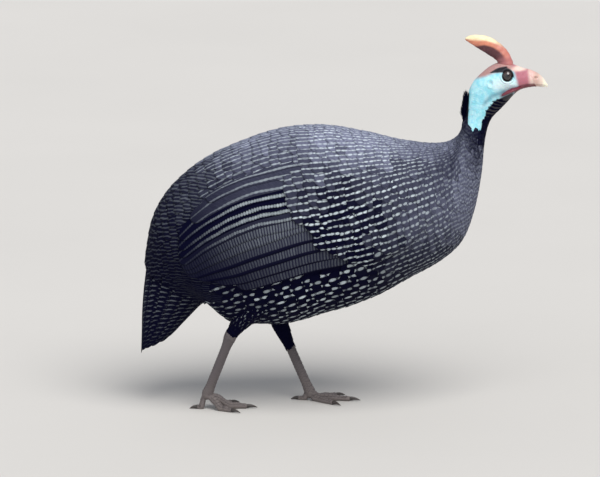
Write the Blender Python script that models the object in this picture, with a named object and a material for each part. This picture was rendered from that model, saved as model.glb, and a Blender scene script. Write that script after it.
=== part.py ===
"""A guinea fowl at life size, caught in mid stride, as a still model for a museum.

The bird faces +X with its right side towards -Y, and stands on Z = 0. The body is one loft of
leaning sections from the tail's tip to the bill, and every other piece is set on that loft.
Sizes are in millimetres and are turned to metres as each mesh is made.
"""

import math

import bmesh
import bpy
import numpy as np
from mathutils import Vector

MM = 0.001
GAP = 0.3
CUT_GAP = 0.36
RIGHT, LEFT = -1, 1

# Sections of the bird's outline from tail tip to bill tip: top x and z, bottom x and z, half width.
OUTLINE = [
    (-209.9, 54.5, -206.5, 51.5, 2.0),
    (-208.8, 78.8, -182.0, 68.3, 11.5),
    (-207.8, 105.0, -161.5, 89.3, 18.5),
    (-205.2, 136.6, -144.5, 106.0, 27.0),
    (-202.5, 164.9, -131.5, 108.1, 38.5),
    (-195.0, 199.6, -114.0, 89.4, 51.5),
    (-175.9, 231.1, -85.2, 87.2, 60.0),
    (-141.9, 259.5, -61.5, 87.2, 67.0),
    (-100.7, 278.9, -40.9, 91.4, 72.0),
    (-59.5, 291.5, -18.3, 98.8, 74.0),
    (-18.3, 294.1, 7.5, 106.0, 74.0),
    (22.9, 287.4, 38.4, 118.7, 71.0),
    (59.0, 279.0, 69.3, 136.1, 66.0),
    (87.8, 275.2, 100.2, 153.3, 57.0),
    (105.3, 276.3, 122.8, 174.3, 47.0),
    (115.6, 281.5, 135.2, 205.7, 34.0),
    (120.8, 288.9, 142.4, 243.8, 22.5),
    (122.3, 296.7, 145.0, 273.2, 15.5),
    (124.0, 305.6, 148.1, 291.0, 12.5),
    (126.0, 315.1, 153.0, 302.5, 12.0),
    (127.4, 323.5, 162.5, 312.6, 12.6),
    (129.5, 331.9, 171.0, 321.8, 13.6),
    (134.0, 340.4, 177.0, 328.2, 14.8),
    (141.0, 348.0, 181.0, 331.3, 15.6),
    (149.5, 355.0, 184.0, 332.6, 16.0),
    (157.5, 359.0, 187.0, 333.3, 15.3),
    (166.5, 359.8, 190.0, 333.9, 13.4),
    (176.0, 357.1, 192.6, 334.3, 11.0),
    (185.0, 353.9, 195.6, 334.5, 8.6),
    (192.0, 352.1, 199.0, 334.5, 6.9),
    (198.5, 349.1, 202.6, 334.1, 5.2),
    (204.5, 344.2, 206.2, 333.9, 3.4),
    (209.4, 336.7, 209.7, 334.1, 1.0),
]
EGG = 0.07
TAIL_CUT, NECK_CUT, HEAD_CUT, BILL_CUT = 4.25, 16.4, 20.3, 28.6
TORSO_SIDES, NECK_SIDES, HEAD_SIDES = 30, 20, 24
TORSO_RINGS, NECK_RINGS, HEAD_RINGS, BILL_RINGS = 24, 8, 17, 8

# The folded wing, in stations of the outline and in degrees down from the ridge of the back.
WING_STATIONS = [4.9, 6.0, 7.2, 8.4, 9.6, 10.8, 12.0, 12.7]
WING_TOP = [92.0, 72.0, 57.0, 49.0, 46.0, 47.0, 54.0, 72.0]
WING_FOOT = [110.0, 113.5, 117.0, 119.5, 120.5, 118.5, 113.0, 98.0]
WING_CORE_STATIONS = [8.3, 9.2, 10.0, 11.0, 12.0, 12.7]
WING_CORE_LIFT = [1.6, 2.9, 4.0, 5.2, 4.6, 1.0]
WING_CORE_RINGS, WING_CORE_ACROSS, WING_CORE_EDGE, WING_CORE_DEPTH = 6, 6, 12, 1.5

# A feather's vane: thickness, half width in lanes, rise from one lane to the next, and its rounded tip.
VANE_THICK, VANE_TIP_THICK = 0.55, 0.36
VANE_HALF, VANE_RISE = 0.93, 0.85
VANE_SHOULDER, VANE_SHOULDER_HALF, VANE_SHOULDER_LIFT = 0.3, 0.84, 0.8
VANE_TIP_HALF, VANE_TIP_LAG = 0.45, 0.1

# The flight feathers: how many, the station of the longest tip, and how the others fall short of it.
WING_LANES = 9
FLIGHT_TIP, FLIGHT_TIP_RANGE, FLIGHT_TIP_CURVE = 4.95, 1.7, 1.5
FLIGHT_LONGEST, FLIGHT_STEP = 6, 0.15

# The tail: its core drawn in from the outline, and the lanes of its feathers, in degrees.
TAIL_CORE_STATIONS = [1.9, 2.4, 3.0, 3.75, 4.25]
TAIL_CORE_INSIDE = [7.5, 4.8, 2.2, 0.8, 0.0]
TAIL_CORE_SIDES = 18
TAIL_LANE = 22.5
TAIL_TIPS = [0.0, 0.12, 0.35, 0.65, 1.0, 1.4, 1.85]
TAIL_COVERT_TIP, TAIL_COVERT_STEP, TAIL_COVERT_LANES = 2.0, 0.1, 8
TAIL_BELLY_TIP = 2.75

# The nape's short black locks, which point up: stations of their roots and lanes, and their lie.
NAPE_ROWS = [(17.3, (-2, 0, 2)), (18.15, (-3, -1, 1, 3)), (19.0, (-2, 0, 2))]
NAPE_LANE, NAPE_LENGTH, NAPE_ROOT_LIFT, NAPE_TIP_LIFT = 11.0, 1.35, -2.2, 3.4

# Rows of a feather, from its root outwards, as stations of the outline and lifts off it.
FLIGHT_ROWS = [(9.2, 1.6), (8.3, 2.1), (7.4, 2.3), (6.6, 2.3), (5.9, 2.3)]
COVERT_TIERS = [
    (8.3, [(10.3, 2.9), (9.4, 3.8), (8.6, 4.0)]),
    (9.65, [(11.4, 3.6), (10.6, 5.1), (10.0, 5.7)]),
    (10.9, [(12.2, 2.3), (11.6, 5.0), (11.2, 7.3)]),
]
TAIL_ROWS = [(3.75, -4.6), (3.0, -3.2), (2.3, -2.1), (1.6, -2.1), (0.9, -2.1)]
TAIL_COVERT_ROWS = [(3.95, -2.2), (2.7, 0.35)]
TAIL_BELLY_ROWS = [(3.8, -4.0), (3.3, -1.6), (2.9, -1.4)]

# The casque: centre x and z, half depth along the head, half width.
CASQUE = [
    (167.0, 356.0, 8.2, 6.8),
    (165.0, 363.6, 7.2, 6.0),
    (158.6, 370.1, 7.9, 5.2),
    (150.8, 375.7, 8.3, 4.6),
    (142.6, 379.8, 7.6, 3.9),
    (134.6, 382.6, 5.6, 3.0),
    (127.6, 384.0, 3.0, 1.9),
    (124.6, 384.4, 1.0, 0.8),
]
CASQUE_SIDES, CASQUE_RINGS = 12, 13

# The eye, the fold of skin round it, and the opening of the ear.
EYE_X, EYE_Z, EYE_Y = 167.6, 347.8, 10.4
EYE_RADIUS, EYE_FACES = 5.9, (8, 14)
SMALL_FACES = (4, 8)
LID_RING, LID_ROD, LID_STEPS, LID_SIDES = 5.9, 1.1, 15, 5
SEARCH_STEPS = 24
LID_SINK = 0.2
EAR, EAR_RADII = (150.5, 16.4, 340.0), (1.7, 3.0, 2.4)

# The line of the mouth, from its corners to past the tip of the bill, and the nostrils.
MOUTH_BACK_X, MOUTH_TIP_X, MOUTH_Z = 179.5, 214.0, 336.7
MOUTH_ARCH, MOUTH_DROP, MOUTH_GAP, MOUTH_STEPS = 1.4, 1.6, 0.5, 7
CUTTER_REACH = 40.0
BILL_SIDES = 16
LOWER_BILL_END = 31.35
NOSTRIL, NOSTRIL_RADII = (197.5, 5.4, 345.0), (2.0, 2.2, 0.9)

# The wattle: centre x, y outwards, z, half width, half thickness.
WATTLE = [
    (182.0, 6.2, 335.7, 2.2, 1.5),
    (178.5, 10.6, 334.7, 3.6, 1.7),
    (174.0, 14.2, 332.7, 4.9, 1.6),
    (169.0, 17.0, 330.1, 5.2, 1.4),
    (164.8, 18.8, 327.6, 3.8, 1.1),
    (162.6, 19.6, 326.4, 1.4, 0.7),
]
WATTLE_SIDES, WATTLE_RINGS = 10, 9

# The legs: the feathered thigh, the bare shank with its scutes and swellings, and the toes.
TIBIA_TOP_RADIUS, TIBIA_FOOT_RADIUS = 19.0, 6.6
THIGH_TAPER = [(0.0, 0.0), (0.3, 0.35), (0.6, 0.7), (0.85, 0.93), (0.97, 1.0)]
THIGH_FLAT, THIGH_SIDES = 0.85, 14
SHANK_DEEP, SHANK_WIDE = 4.3, 3.5
ANKLE_SWELL, JOINT_SWELL = 1.9, 1.2
SCUTES = 11
SCUTE_STEP, SCUTE_EDGE, SCUTE_WRAP = 0.6, 0.93, 0.5
SHANK_SIDES = 10
ANKLE_REACH, JOINT_REACH = 9.0, 7.0
TOE_SIDES = 8
TOE_SINK = 0.84
TOE_DROP_SHARE, TOE_KNUCKLE, TOE_KNUCKLE_RISE = 0.55, 0.62, 0.3
HEEL_UP, HIND_SHORT, HIND_ARCH, HIND_CLAW = 10.0, 0.8, 3.0, 0.7
FOOT_PAD = (5.6, 5.2, 5.6)
GROUND_REACH, GROUND_DEPTH = 300.0, 20.0


class Leg:
    """One leg's joints, in millimetres, and the headings of its toes in degrees from +X."""

    def __init__(self, word, side, hip, ankle, joint, bend, heading):
        self.word = word
        self.side = side
        self.hip = np.array(hip, float)
        self.ankle = np.array(ankle, float)
        self.joint = np.array(joint, float)
        self.bend = bend
        self.heading = heading


LEGS = [
    Leg("right", RIGHT, (-92.0, -34.0, 114.0), (-115.0, -27.0, 80.0), (-140.0, -20.0, 15.0), 22.0, 2.0),
    Leg("left", LEFT, (-58.0, 34.0, 118.0), (-65.5, 26.0, 81.0), (-33.0, 18.0, 7.2), 6.0, -6.0),
]
# The toes: word, heading away from the middle toe, length, radius at the root and at the tip.
TOES = [
    ("middle", 0.0, 41.0, 4.3, 2.7),
    ("inner", -36.0, 31.0, 3.8, 2.5),
    ("outer", 34.0, 30.0, 3.8, 2.5),
    ("hind", 180.0, 13.0, 3.0, 2.0),
]
CLAW_LENGTH, CLAW_RADIUS, CLAW_FLAT, CLAW_SIDES, CLAW_CLEAR = 11.0, 2.1, 0.8, 7, 0.1
# A claw's run along its length, its rise, and its radius as a share.
CLAW_PATH = [(-0.1, 0.0, 1.0), (0.3, 0.5, 0.8), (0.7, -0.1, 0.45), (1.0, -1.0, 0.14)]

COLOURS = {
    "plumage": (0.045, 0.047, 0.06, 1.0),
    "wing": (0.055, 0.057, 0.07, 1.0),
    "skin_blue": (0.42, 0.72, 0.78, 1.0),
    "casque": (0.55, 0.27, 0.14, 1.0),
    "bill": (0.75, 0.62, 0.45, 1.0),
    "wattle": (0.5, 0.05, 0.07, 1.0),
    "eye": (0.02, 0.012, 0.01, 1.0),
    "leg": (0.16, 0.14, 0.15, 1.0),
    "claw": (0.06, 0.05, 0.05, 1.0),
}
ROUGHNESS = {"eye": 0.08, "casque": 0.5, "bill": 0.35, "claw": 0.4, "leg": 0.6}


def clear_scene():
    """Removes whatever the file opened with."""
    for thing in list(bpy.data.objects):
        bpy.data.objects.remove(thing)


def material(slot):
    """The Principled material of a slot, made once."""
    found = bpy.data.materials.get(slot)
    if found:
        return found
    made = bpy.data.materials.new(slot)
    made.use_nodes = True
    shader = made.node_tree.nodes["Principled BSDF"]
    shader.inputs["Base Color"].default_value = COLOURS[slot]
    shader.inputs["Roughness"].default_value = ROUGHNESS.get(slot, 0.75)
    return made


def between(rows, k):
    """The row of a table at the fractional station k, on a smooth curve through the rows."""
    rows = np.asarray(rows, float)
    k = min(max(k, 0.0), len(rows) - 1.0)
    i = min(int(k), len(rows) - 2)
    f = k - i
    here, after = rows[i], rows[i + 1]
    before = rows[i - 1] if i else 2 * here - after
    beyond = rows[i + 2] if i + 2 < len(rows) else 2 * after - here
    square = 2 * before - 5 * here + 4 * after - beyond
    cube = 3 * here - before - 3 * after + beyond
    return 0.5 * (2 * here + (after - before) * f + square * f * f + cube * f**3)


def outline_point(k, degrees, side):
    """A point of the bird's outline at station k, so many degrees down from the ridge on one side."""
    top_x, top_z, foot_x, foot_z, half_width = between(OUTLINE, k)
    angle = math.radians(degrees)
    up = math.cos(angle)
    across = math.sin(angle) * (1 - EGG * up)
    return np.array([
        (top_x + foot_x) / 2 + up * (top_x - foot_x) / 2,
        side * half_width * across,
        (top_z + foot_z) / 2 + up * (top_z - foot_z) / 2,
    ])


def outline_frame(k, degrees, side):
    """The outline's point there, its outward normal, and millimetres for each degree."""
    here = outline_point(k, degrees, side)
    ahead = outline_point(k + 0.05, degrees, side) - outline_point(k - 0.05, degrees, side)
    down = outline_point(k, degrees + 1.0, side) - outline_point(k, degrees - 1.0, side)
    normal = np.cross(ahead, down) * side
    return here, normal / np.linalg.norm(normal), np.linalg.norm(down) / 2


def lifted(k, degrees, side, lift):
    """A point that stands off the outline by lift."""
    here, normal, _ = outline_frame(k, degrees, side)
    return here + normal * lift


def add_object(name, slot, points, faces):
    """An object of a node or of a piece of one, with its faces turned outwards."""
    mesh = bpy.data.meshes.new(name)
    mesh.from_pydata([tuple(float(c) * MM for c in p) for p in points], [], faces)
    shell = bmesh.new()
    shell.from_mesh(mesh)
    bmesh.ops.recalc_face_normals(shell, faces=shell.faces)
    if shell.calc_volume(signed=True) < 0:
        bmesh.ops.reverse_faces(shell, faces=shell.faces)
    shell.to_mesh(mesh)
    shell.free()
    made = bpy.data.objects.new(name, mesh)
    bpy.context.scene.collection.objects.link(made)
    mesh.materials.append(material(slot))
    mesh.shade_smooth()
    return made


def loft(name, slot, rings):
    """A closed tube through rings of points, with a fan of triangles on each end."""
    count = len(rings[0])
    points = [p for ring in rings for p in ring]
    faces = []
    for r in range(len(rings) - 1):
        for i in range(count):
            j = (i + 1) % count
            faces.append((r * count + i, r * count + j, (r + 1) * count + j, (r + 1) * count + i))
    for first, ring in ((0, rings[0]), ((len(rings) - 1) * count, rings[-1])):
        points.append(np.mean(ring, axis=0))
        hub = len(points) - 1
        faces.extend((first + i, first + (i + 1) % count, hub) for i in range(count))
    return add_object(name, slot, points, faces)


def outline_ring(k, sides, shift=0.0, inside=0.0):
    """A ring round the bird at station k, moved forwards off its plane by shift, and drawn in."""
    ring = []
    for i in range(sides):
        turn = 360.0 * i / sides
        side, degrees = (LEFT, turn) if turn <= 180 else (RIGHT, 360.0 - turn)
        here, normal, _ = outline_frame(k, degrees, side)
        ring.append(here - normal * inside)
    ring = np.array(ring)
    if shift:
        spread = ring[sides // 2] - ring[0]
        forwards = np.cross(spread, [0.0, -1.0, 0.0])
        ahead = between(OUTLINE, k + 0.1) - between(OUTLINE, k - 0.1)
        forwards *= np.sign(forwards[0] * (ahead[0] + ahead[2]) + forwards[2] * (ahead[1] + ahead[3]))
        ring += forwards / np.linalg.norm(forwards) * shift
    return ring


def stations(start, end, count):
    """Evenly spaced stations from start to end."""
    return np.linspace(start, end, count)


def outline_loft(name, slot, start, end, count, sides, gaps=(0.0, 0.0)):
    """The stretch of the outline between two stations, with its ends drawn back by the gaps."""
    at = stations(start, end, count)
    rings = [outline_ring(k, sides) for k in at]
    rings[0] = outline_ring(start, sides, gaps[0])
    rings[-1] = outline_ring(end, sides, -gaps[1])
    return loft(name, slot, rings)


def tube(name, slot, centres, radii, sides, flat=None):
    """A tube of elliptical rings across its own path; radii are (in the plane of travel, across)."""
    centres = np.asarray(centres, float)
    travel = np.gradient(centres, axis=0)
    rings = []
    for centre, way, (deep, wide) in zip(centres, travel, radii):
        way = way / np.linalg.norm(way)
        across = np.cross([0.0, 0.0, 1.0], way) if abs(way[2]) < 0.97 else np.array([0.0, 1.0, 0.0])
        across = np.array([0.0, 1.0, 0.0]) if flat == "side" else across / np.linalg.norm(across)
        up = np.cross(way, across)
        up /= np.linalg.norm(up)
        ring = []
        for i in range(sides):
            angle = 2 * math.pi * (i + 0.5) / sides
            ring.append(centre + up * deep * math.cos(angle) + across * wide * math.sin(angle))
        rings.append(np.array(ring))
    return loft(name, slot, rings)


def ball(name, slot, centre, radii, rows, columns):
    """An ellipsoid with its poles on the Y axis."""
    rings = []
    for r in range(1, rows):
        angle = math.pi * r / rows
        ring = []
        for c in range(columns):
            turn = 2 * math.pi * c / columns
            ring.append(np.array(centre) + np.array(radii) * [
                math.sin(angle) * math.cos(turn), -math.cos(angle), math.sin(angle) * math.sin(turn)])
        rings.append(np.array(ring))
    made_points = [p for ring in rings for p in ring]
    first, last = len(made_points), len(made_points) + 1
    made_points += [np.array(centre) - [0, radii[1], 0], np.array(centre) + [0, radii[1], 0]]
    faces = []
    for r in range(len(rings) - 1):
        for c in range(columns):
            d = (c + 1) % columns
            faces.append((r * columns + c, r * columns + d, (r + 1) * columns + d, (r + 1) * columns + c))
    top = (len(rings) - 1) * columns
    for c in range(columns):
        d = (c + 1) % columns
        faces += [(c, d, first), (top + c, top + d, last)]
    return add_object(name, slot, made_points, faces)


def apply_modifiers(target):
    """Turns an object's modifiers into its mesh."""
    bpy.context.view_layer.update()
    graph = bpy.context.evaluated_depsgraph_get()
    made = bpy.data.meshes.new_from_object(target.evaluated_get(graph), depsgraph=graph)
    target.modifiers.clear()
    target.data = made


def keep_largest(target):
    """Keeps the largest closed surface of an object and drops the rest."""
    shell = bmesh.new()
    shell.from_mesh(target.data)
    left = set(shell.faces)
    groups = []
    while left:
        seed = left.pop()
        group, front = [seed], [seed]
        while front:
            face = front.pop()
            for edge in face.edges:
                for other in edge.link_faces:
                    if other in left:
                        left.remove(other)
                        group.append(other)
                        front.append(other)
        groups.append(group)
    groups.sort(key=lambda g: -sum(f.calc_area() for f in g))
    for group in groups[1:]:
        bmesh.ops.delete(shell, geom=group, context="FACES")
    shell.to_mesh(target.data)
    shell.free()


def combine(target, others, operation, solver="MANIFOLD"):
    """One Boolean of an object with others, applied, after which the others are removed."""
    helpers = bpy.data.collections.new("helpers")
    bpy.context.scene.collection.children.link(helpers)
    for other in others:
        bpy.context.scene.collection.objects.unlink(other)
        helpers.objects.link(other)
    step = target.modifiers.new("join", "BOOLEAN")
    step.operation = operation
    step.operand_type = "COLLECTION"
    step.collection = helpers
    step.solver = solver
    apply_modifiers(target)
    for other in others:
        bpy.data.objects.remove(other)
    bpy.data.collections.remove(helpers)
    keep_largest(target)
    return target


def grown(target, by=CUT_GAP):
    """A copy of an object, swollen by a gap, to cut its neighbour clear of it."""
    copy = bpy.data.objects.new("grown", target.data.copy())
    copy.matrix_world = target.matrix_world
    bpy.context.scene.collection.objects.link(copy)
    for vertex, normal in zip(copy.data.vertices, [n.vector.copy() for n in target.data.vertex_normals]):
        vertex.co += normal * by * MM
    return copy


def clear_of(target, *neighbours):
    """Cuts an object clear of its neighbours."""
    return combine(target, [grown(n) for n in neighbours], "DIFFERENCE")


def make_torso():
    """The trunk in its plumage, from the tail's root to the foot of the neck."""
    return outline_loft("torso", "plumage", TAIL_CUT, NECK_CUT, TORSO_RINGS, TORSO_SIDES)


def vane(place, lane, rows, tip, slot, slope=1.0, tip_lift=None):
    """One feather's vane along a lane, from its root at the first row to its tip.

    The rows are (station, lift). Its lower edge lies a lane's rise above the next feather, and both
    faces are split into triangles alike.
    """
    shoulder = tip + VANE_SHOULDER
    kept = [row for row in rows if row[0] > shoulder + VANE_SHOULDER]
    last = rows[-1][1]
    steps = [(k, lift, VANE_HALF, 0.0, VANE_THICK) for k, lift in kept]
    end = last if tip_lift is None else tip_lift
    near = last + (end - last) * VANE_SHOULDER_LIFT
    steps += [(shoulder, near, VANE_SHOULDER_HALF, 0.0, VANE_THICK),
              (tip, end, VANE_TIP_HALF, VANE_TIP_LAG, VANE_TIP_THICK)]
    points = []
    for k, lift, half, lag, thick in steps:
        for face in (0.5, -0.5):
            for u in (-half, 0.0, half):
                rise = VANE_RISE * (u if slope else VANE_HALF)
                points.append(place(k + lag * (u != 0), lane + u, lift + rise + face * thick))
    faces = []
    for r in range(len(steps) - 1):
        a, b = 6 * r, 6 * (r + 1)
        for c in (0, 1, 3, 4):
            faces += [(a + c, a + c + 1, b + c + 1), (a + c, b + c + 1, b + c)]
        for c in (0, 2):
            faces += [(a + c, b + c, b + c + 3), (a + c, b + c + 3, a + c + 3)]
    for a in (0, 6 * (len(steps) - 1)):
        for c in (0, 1):
            faces += [(a + c, a + c + 1, a + c + 4), (a + c, a + c + 4, a + c + 3)]
    return add_object("vane", slot, points, faces)


def nape_place(k, lane, lift):
    """The place of a nape lock's point; its stations count backwards, as it points up the neck."""
    return lifted(-k, lane * NAPE_LANE, LEFT, lift)


def tail_place(side):
    """The place of a tail feather's point by station, lane and lift, on one side."""
    return lambda k, lane, lift: lifted(k, lane * TAIL_LANE, side, lift)


def make_tail(torso):
    """The tail: a core in two tiers of feathers, the long ones and the coverts over their roots."""
    at = TAIL_CORE_STATIONS
    rings = [outline_ring(k, TAIL_CORE_SIDES, 0.0, inside) for k, inside in zip(at, TAIL_CORE_INSIDE)]
    rings[-1] = outline_ring(at[-1], TAIL_CORE_SIDES, -GAP)
    tail = loft("tail", "plumage", rings)
    middle = [(0, TAIL_ROWS, TAIL_TIPS[0]), (0, TAIL_COVERT_ROWS, TAIL_COVERT_TIP),
              (TAIL_COVERT_LANES, TAIL_BELLY_ROWS, TAIL_BELLY_TIP)]
    feathers = [vane(tail_place(LEFT), lane, rows, tip, "plumage", 0.0) for lane, rows, tip in middle]
    for side in (RIGHT, LEFT):
        for lane, tip in enumerate(TAIL_TIPS):
            if lane:
                feathers.append(vane(tail_place(side), lane, TAIL_ROWS, tip, "plumage"))
        for lane in range(1, TAIL_COVERT_LANES):
            tip = TAIL_COVERT_TIP + TAIL_COVERT_STEP * lane
            feathers.append(vane(tail_place(side), lane, TAIL_COVERT_ROWS, tip, "plumage"))
    return clear_of(combine(tail, feathers, "UNION"), torso)


def make_neck():
    """The neck, from the trunk to the back of the head, with the black locks of the nape."""
    neck = outline_loft("neck", "skin_blue", NECK_CUT, HEAD_CUT, NECK_RINGS, NECK_SIDES, (GAP, 0.0))
    locks = []
    for root, lanes in NAPE_ROWS:
        rows = [(-root, NAPE_ROOT_LIFT)]
        for lane in lanes:
            lock = vane(nape_place, lane, rows, -root - NAPE_LENGTH, "plumage", 0.0, NAPE_TIP_LIFT)
            locks.append(lock)
    return combine(neck, locks, "UNION")


def surface_y(x, z, low=HEAD_CUT, high=BILL_CUT):
    """How far out the side of the head lies at a place in side view."""
    for _ in range(SEARCH_STEPS):
        k = (low + high) / 2
        top_x, top_z, foot_x, foot_z, _ = between(OUTLINE, k)
        ahead = (x - top_x) * (foot_z - top_z) - (z - top_z) * (foot_x - top_x)
        low, high = (k, high) if ahead < 0 else (low, k)
    share = ((x - top_x) * (foot_x - top_x) + (z - top_z) * (foot_z - top_z))
    share /= (foot_x - top_x) ** 2 + (foot_z - top_z) ** 2
    return outline_point(k, math.degrees(math.acos(1 - 2 * min(max(share, 0.0), 1.0))), LEFT)[1]


def ring_round_eye(side):
    """The lids of one eye, as a round fold."""
    rings = []
    for i in range(LID_STEPS):
        turn = 2 * math.pi * i / LID_STEPS
        out = np.array([math.cos(turn), 0.0, math.sin(turn)])
        centre = np.array([EYE_X, 0.0, EYE_Z]) + out * LID_RING
        centre[1] = side * (surface_y(centre[0], centre[2]) - LID_SINK)
        rings.append([
            centre + LID_ROD * (out * math.cos(a) + np.array([0.0, side * math.sin(a), 0.0]))
            for a in (2 * math.pi * (j + 0.5) / LID_SIDES for j in range(LID_SIDES))
        ])
    count = LID_SIDES
    points = [p for ring in rings for p in ring]
    faces = []
    for r in range(LID_STEPS):
        for i in range(count):
            j, s = (i + 1) % count, (r + 1) % LID_STEPS
            faces.append((r * count + i, r * count + j, s * count + j, s * count + i))
    return add_object("lid", "skin_blue", points, faces)


def make_head():
    """The head: skull and face, with lids, sockets, ears and the back of the mouth."""
    head = outline_loft("head", "skin_blue", HEAD_CUT, BILL_CUT, HEAD_RINGS, HEAD_SIDES, (GAP, 0.0))
    lids = [ring_round_eye(side) for side in (RIGHT, LEFT)]
    combine(head, lids, "UNION")
    hollows = []
    for side in (RIGHT, LEFT):
        socket = EYE_RADIUS + GAP
        hollows.append(ball("socket", "eye", (EYE_X, side * EYE_Y, EYE_Z), (socket,) * 3, *EYE_FACES))
        hollows.append(ball("ear", "eye", (EAR[0], side * EAR[1], EAR[2]), EAR_RADII, *SMALL_FACES))
    hollows.append(mouth_slab(-MOUTH_GAP / 2, MOUTH_GAP / 2))
    combine(head, hollows, "DIFFERENCE")
    return head


def mouth_slab(low, high):
    """A slab across the head that follows the line of the mouth, from low to high above it."""
    rings = []
    for f in stations(0.0, 1.0, MOUTH_STEPS):
        x = MOUTH_BACK_X + (MOUTH_TIP_X - MOUTH_BACK_X) * f
        z = MOUTH_Z + MOUTH_ARCH * math.sin(math.pi * f) - MOUTH_DROP * f * f
        rings.append(np.array([
            (x, -CUTTER_REACH, z + low), (x, CUTTER_REACH, z + low),
            (x, CUTTER_REACH, z + high), (x, -CUTTER_REACH, z + high)]))
    return loft("slab", "bill", rings)


def make_bill():
    """The two halves of the bill, with the nostrils in the upper one."""
    upper, lower = (outline_loft(name, "bill", BILL_CUT, end, BILL_RINGS, BILL_SIDES, (GAP, 0.0))
                    for name, end in (("upper_bill", len(OUTLINE) - 1), ("lower_bill", LOWER_BILL_END)))
    x, y, z = NOSTRIL
    nostrils = [ball("nostril", "eye", (x, side * y, z), NOSTRIL_RADII, *SMALL_FACES)
                for side in (RIGHT, LEFT)]
    combine(upper, [mouth_slab(-CUTTER_REACH, MOUTH_GAP / 2)] + nostrils, "DIFFERENCE")
    combine(lower, [mouth_slab(-MOUTH_GAP / 2, CUTTER_REACH)], "DIFFERENCE")
    return upper, lower


def make_casque(head):
    """The tall horny casque, leaning back over the crown."""
    steps = [between(CASQUE, k) for k in stations(0, len(CASQUE) - 1, CASQUE_RINGS)]
    casque = tube("casque", "casque", [(x, 0, z) for x, z, _, _ in steps],
                  [(d, w) for _, _, d, w in steps], CASQUE_SIDES, "side")
    return clear_of(casque, head)


def make_wattle(word, side, head, lower_bill, upper_bill):
    """The fleshy wattle at one corner of the mouth."""
    steps = [between(WATTLE, k) for k in stations(0, len(WATTLE) - 1, WATTLE_RINGS)]
    wattle = tube("wattle_" + word, "wattle", [(x, side * y, z) for x, y, z, _, _ in steps],
                  [(thick, wide) for _, _, _, wide, thick in steps], WATTLE_SIDES)
    return clear_of(wattle, head, lower_bill, upper_bill)


def make_eye(word, side):
    """One eyeball."""
    return ball("eye_" + word, "eye", (EYE_X, side * EYE_Y, EYE_Z), (EYE_RADIUS,) * 3, *EYE_FACES)


def wing_edge(table, k):
    """A wing size at station k."""
    return float(np.interp(k, WING_STATIONS, table))


def wing_degrees(k, share):
    """Degrees down from the ridge, that share of the way from the wing's top edge to its lower one."""
    top, foot = wing_edge(WING_TOP, k), wing_edge(WING_FOOT, k)
    return top + (foot - top) * share


def wing_place(side):
    """The place of a wing feather's point by station, lane and lift, on one side."""
    return lambda k, lane, lift: lifted(k, wing_degrees(k, (lane + 0.5) / WING_LANES), side, lift)


def make_wing(word, side, torso):
    """One folded wing: a core on the flank, the flight feathers and three tiers of coverts."""
    rings = []
    for k in stations(WING_CORE_STATIONS[0], WING_CORE_STATIONS[-1], WING_CORE_RINGS):
        lift = float(np.interp(k, WING_CORE_STATIONS, WING_CORE_LIFT))
        shares = stations(0.0, 1.0, WING_CORE_ACROSS + 1)
        heights = [GAP + lift * (1 - (2 * f - 1) ** WING_CORE_EDGE) for f in shares]
        outer = [lifted(k, wing_degrees(k, f), side, height) for f, height in zip(shares, heights)]
        inner = [lifted(k, wing_degrees(k, f), side, -WING_CORE_DEPTH) for f in shares]
        rings.append(np.array(outer + inner[::-1]))
    wing = clear_of(loft("wing_" + word, "wing", rings), torso)
    feathers = []
    for lane in range(WING_LANES):
        tip = FLIGHT_TIP + FLIGHT_TIP_RANGE * max(0.0, 1 - lane / FLIGHT_LONGEST) ** FLIGHT_TIP_CURVE
        tip += FLIGHT_STEP * max(0, lane - FLIGHT_LONGEST)
        feathers.append(vane(wing_place(side), lane, FLIGHT_ROWS, tip, "wing"))
        for tip, rows in COVERT_TIERS:
            feathers.append(vane(wing_place(side), lane, rows, tip, "wing"))
    return combine(wing, feathers, "UNION")


def make_thigh(leg, torso):
    """The feathered lower thigh that shows below the flank."""
    centres = [leg.hip + (leg.ankle - leg.hip) * f for f, _ in THIGH_TAPER]
    wide = [TIBIA_TOP_RADIUS + (TIBIA_FOOT_RADIUS - TIBIA_TOP_RADIUS) * f for _, f in THIGH_TAPER]
    thigh = tube("thigh_" + leg.word, "plumage", centres, [(r, THIGH_FLAT * r) for r in wide], THIGH_SIDES)
    return clear_of(thigh, torso)


def make_shank(leg, thigh):
    """The bare shank with its raised scutes down the front."""
    length = np.linalg.norm(leg.joint - leg.ankle)
    centres, radii = [], []
    for i in range(2 * SCUTES):
        f = (i // 2 + SCUTE_EDGE * (i % 2)) / SCUTES
        centres.append(leg.ankle + (leg.joint - leg.ankle) * f)
        swell = ANKLE_SWELL * math.exp(-(f * length / ANKLE_REACH) ** 2)
        swell += JOINT_SWELL * math.exp(-((1 - f) * length / JOINT_REACH) ** 2)
        step = SCUTE_STEP * (i % 2)
        radii.append((SHANK_DEEP + swell + step, SHANK_WIDE + swell + SCUTE_WRAP * step))
    shank = tube("shank_" + leg.word, "leg", centres, radii, SHANK_SIDES, "side")
    return clear_of(shank, thigh)


def toe_path(leg, turn, length, radius, tip_radius):
    """The centres and radii of a toe that comes down from the joint and lies on the ground."""
    heading = math.radians(leg.heading + (turn if leg.side == LEFT else -turn))
    way = np.array([math.cos(heading), math.sin(heading), 0.0])
    drop_run = min(leg.bend, TOE_DROP_SHARE * length)
    lying = (radius, (radius + tip_radius) / 2, tip_radius)
    knuckle = TOE_KNUCKLE * leg.joint[2] + TOE_KNUCKLE_RISE * radius
    heights = [leg.joint[2], knuckle] + [TOE_SINK * r for r in lying]
    runs = [0.0, drop_run / 2, drop_run, (drop_run + length) / 2, length]
    root = np.array([leg.joint[0], leg.joint[1], 0.0])
    centres = [root + way * run + np.array([0.0, 0.0, z]) for run, z in zip(runs, heights)]
    return centres, [radius, radius, *lying], way


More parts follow.
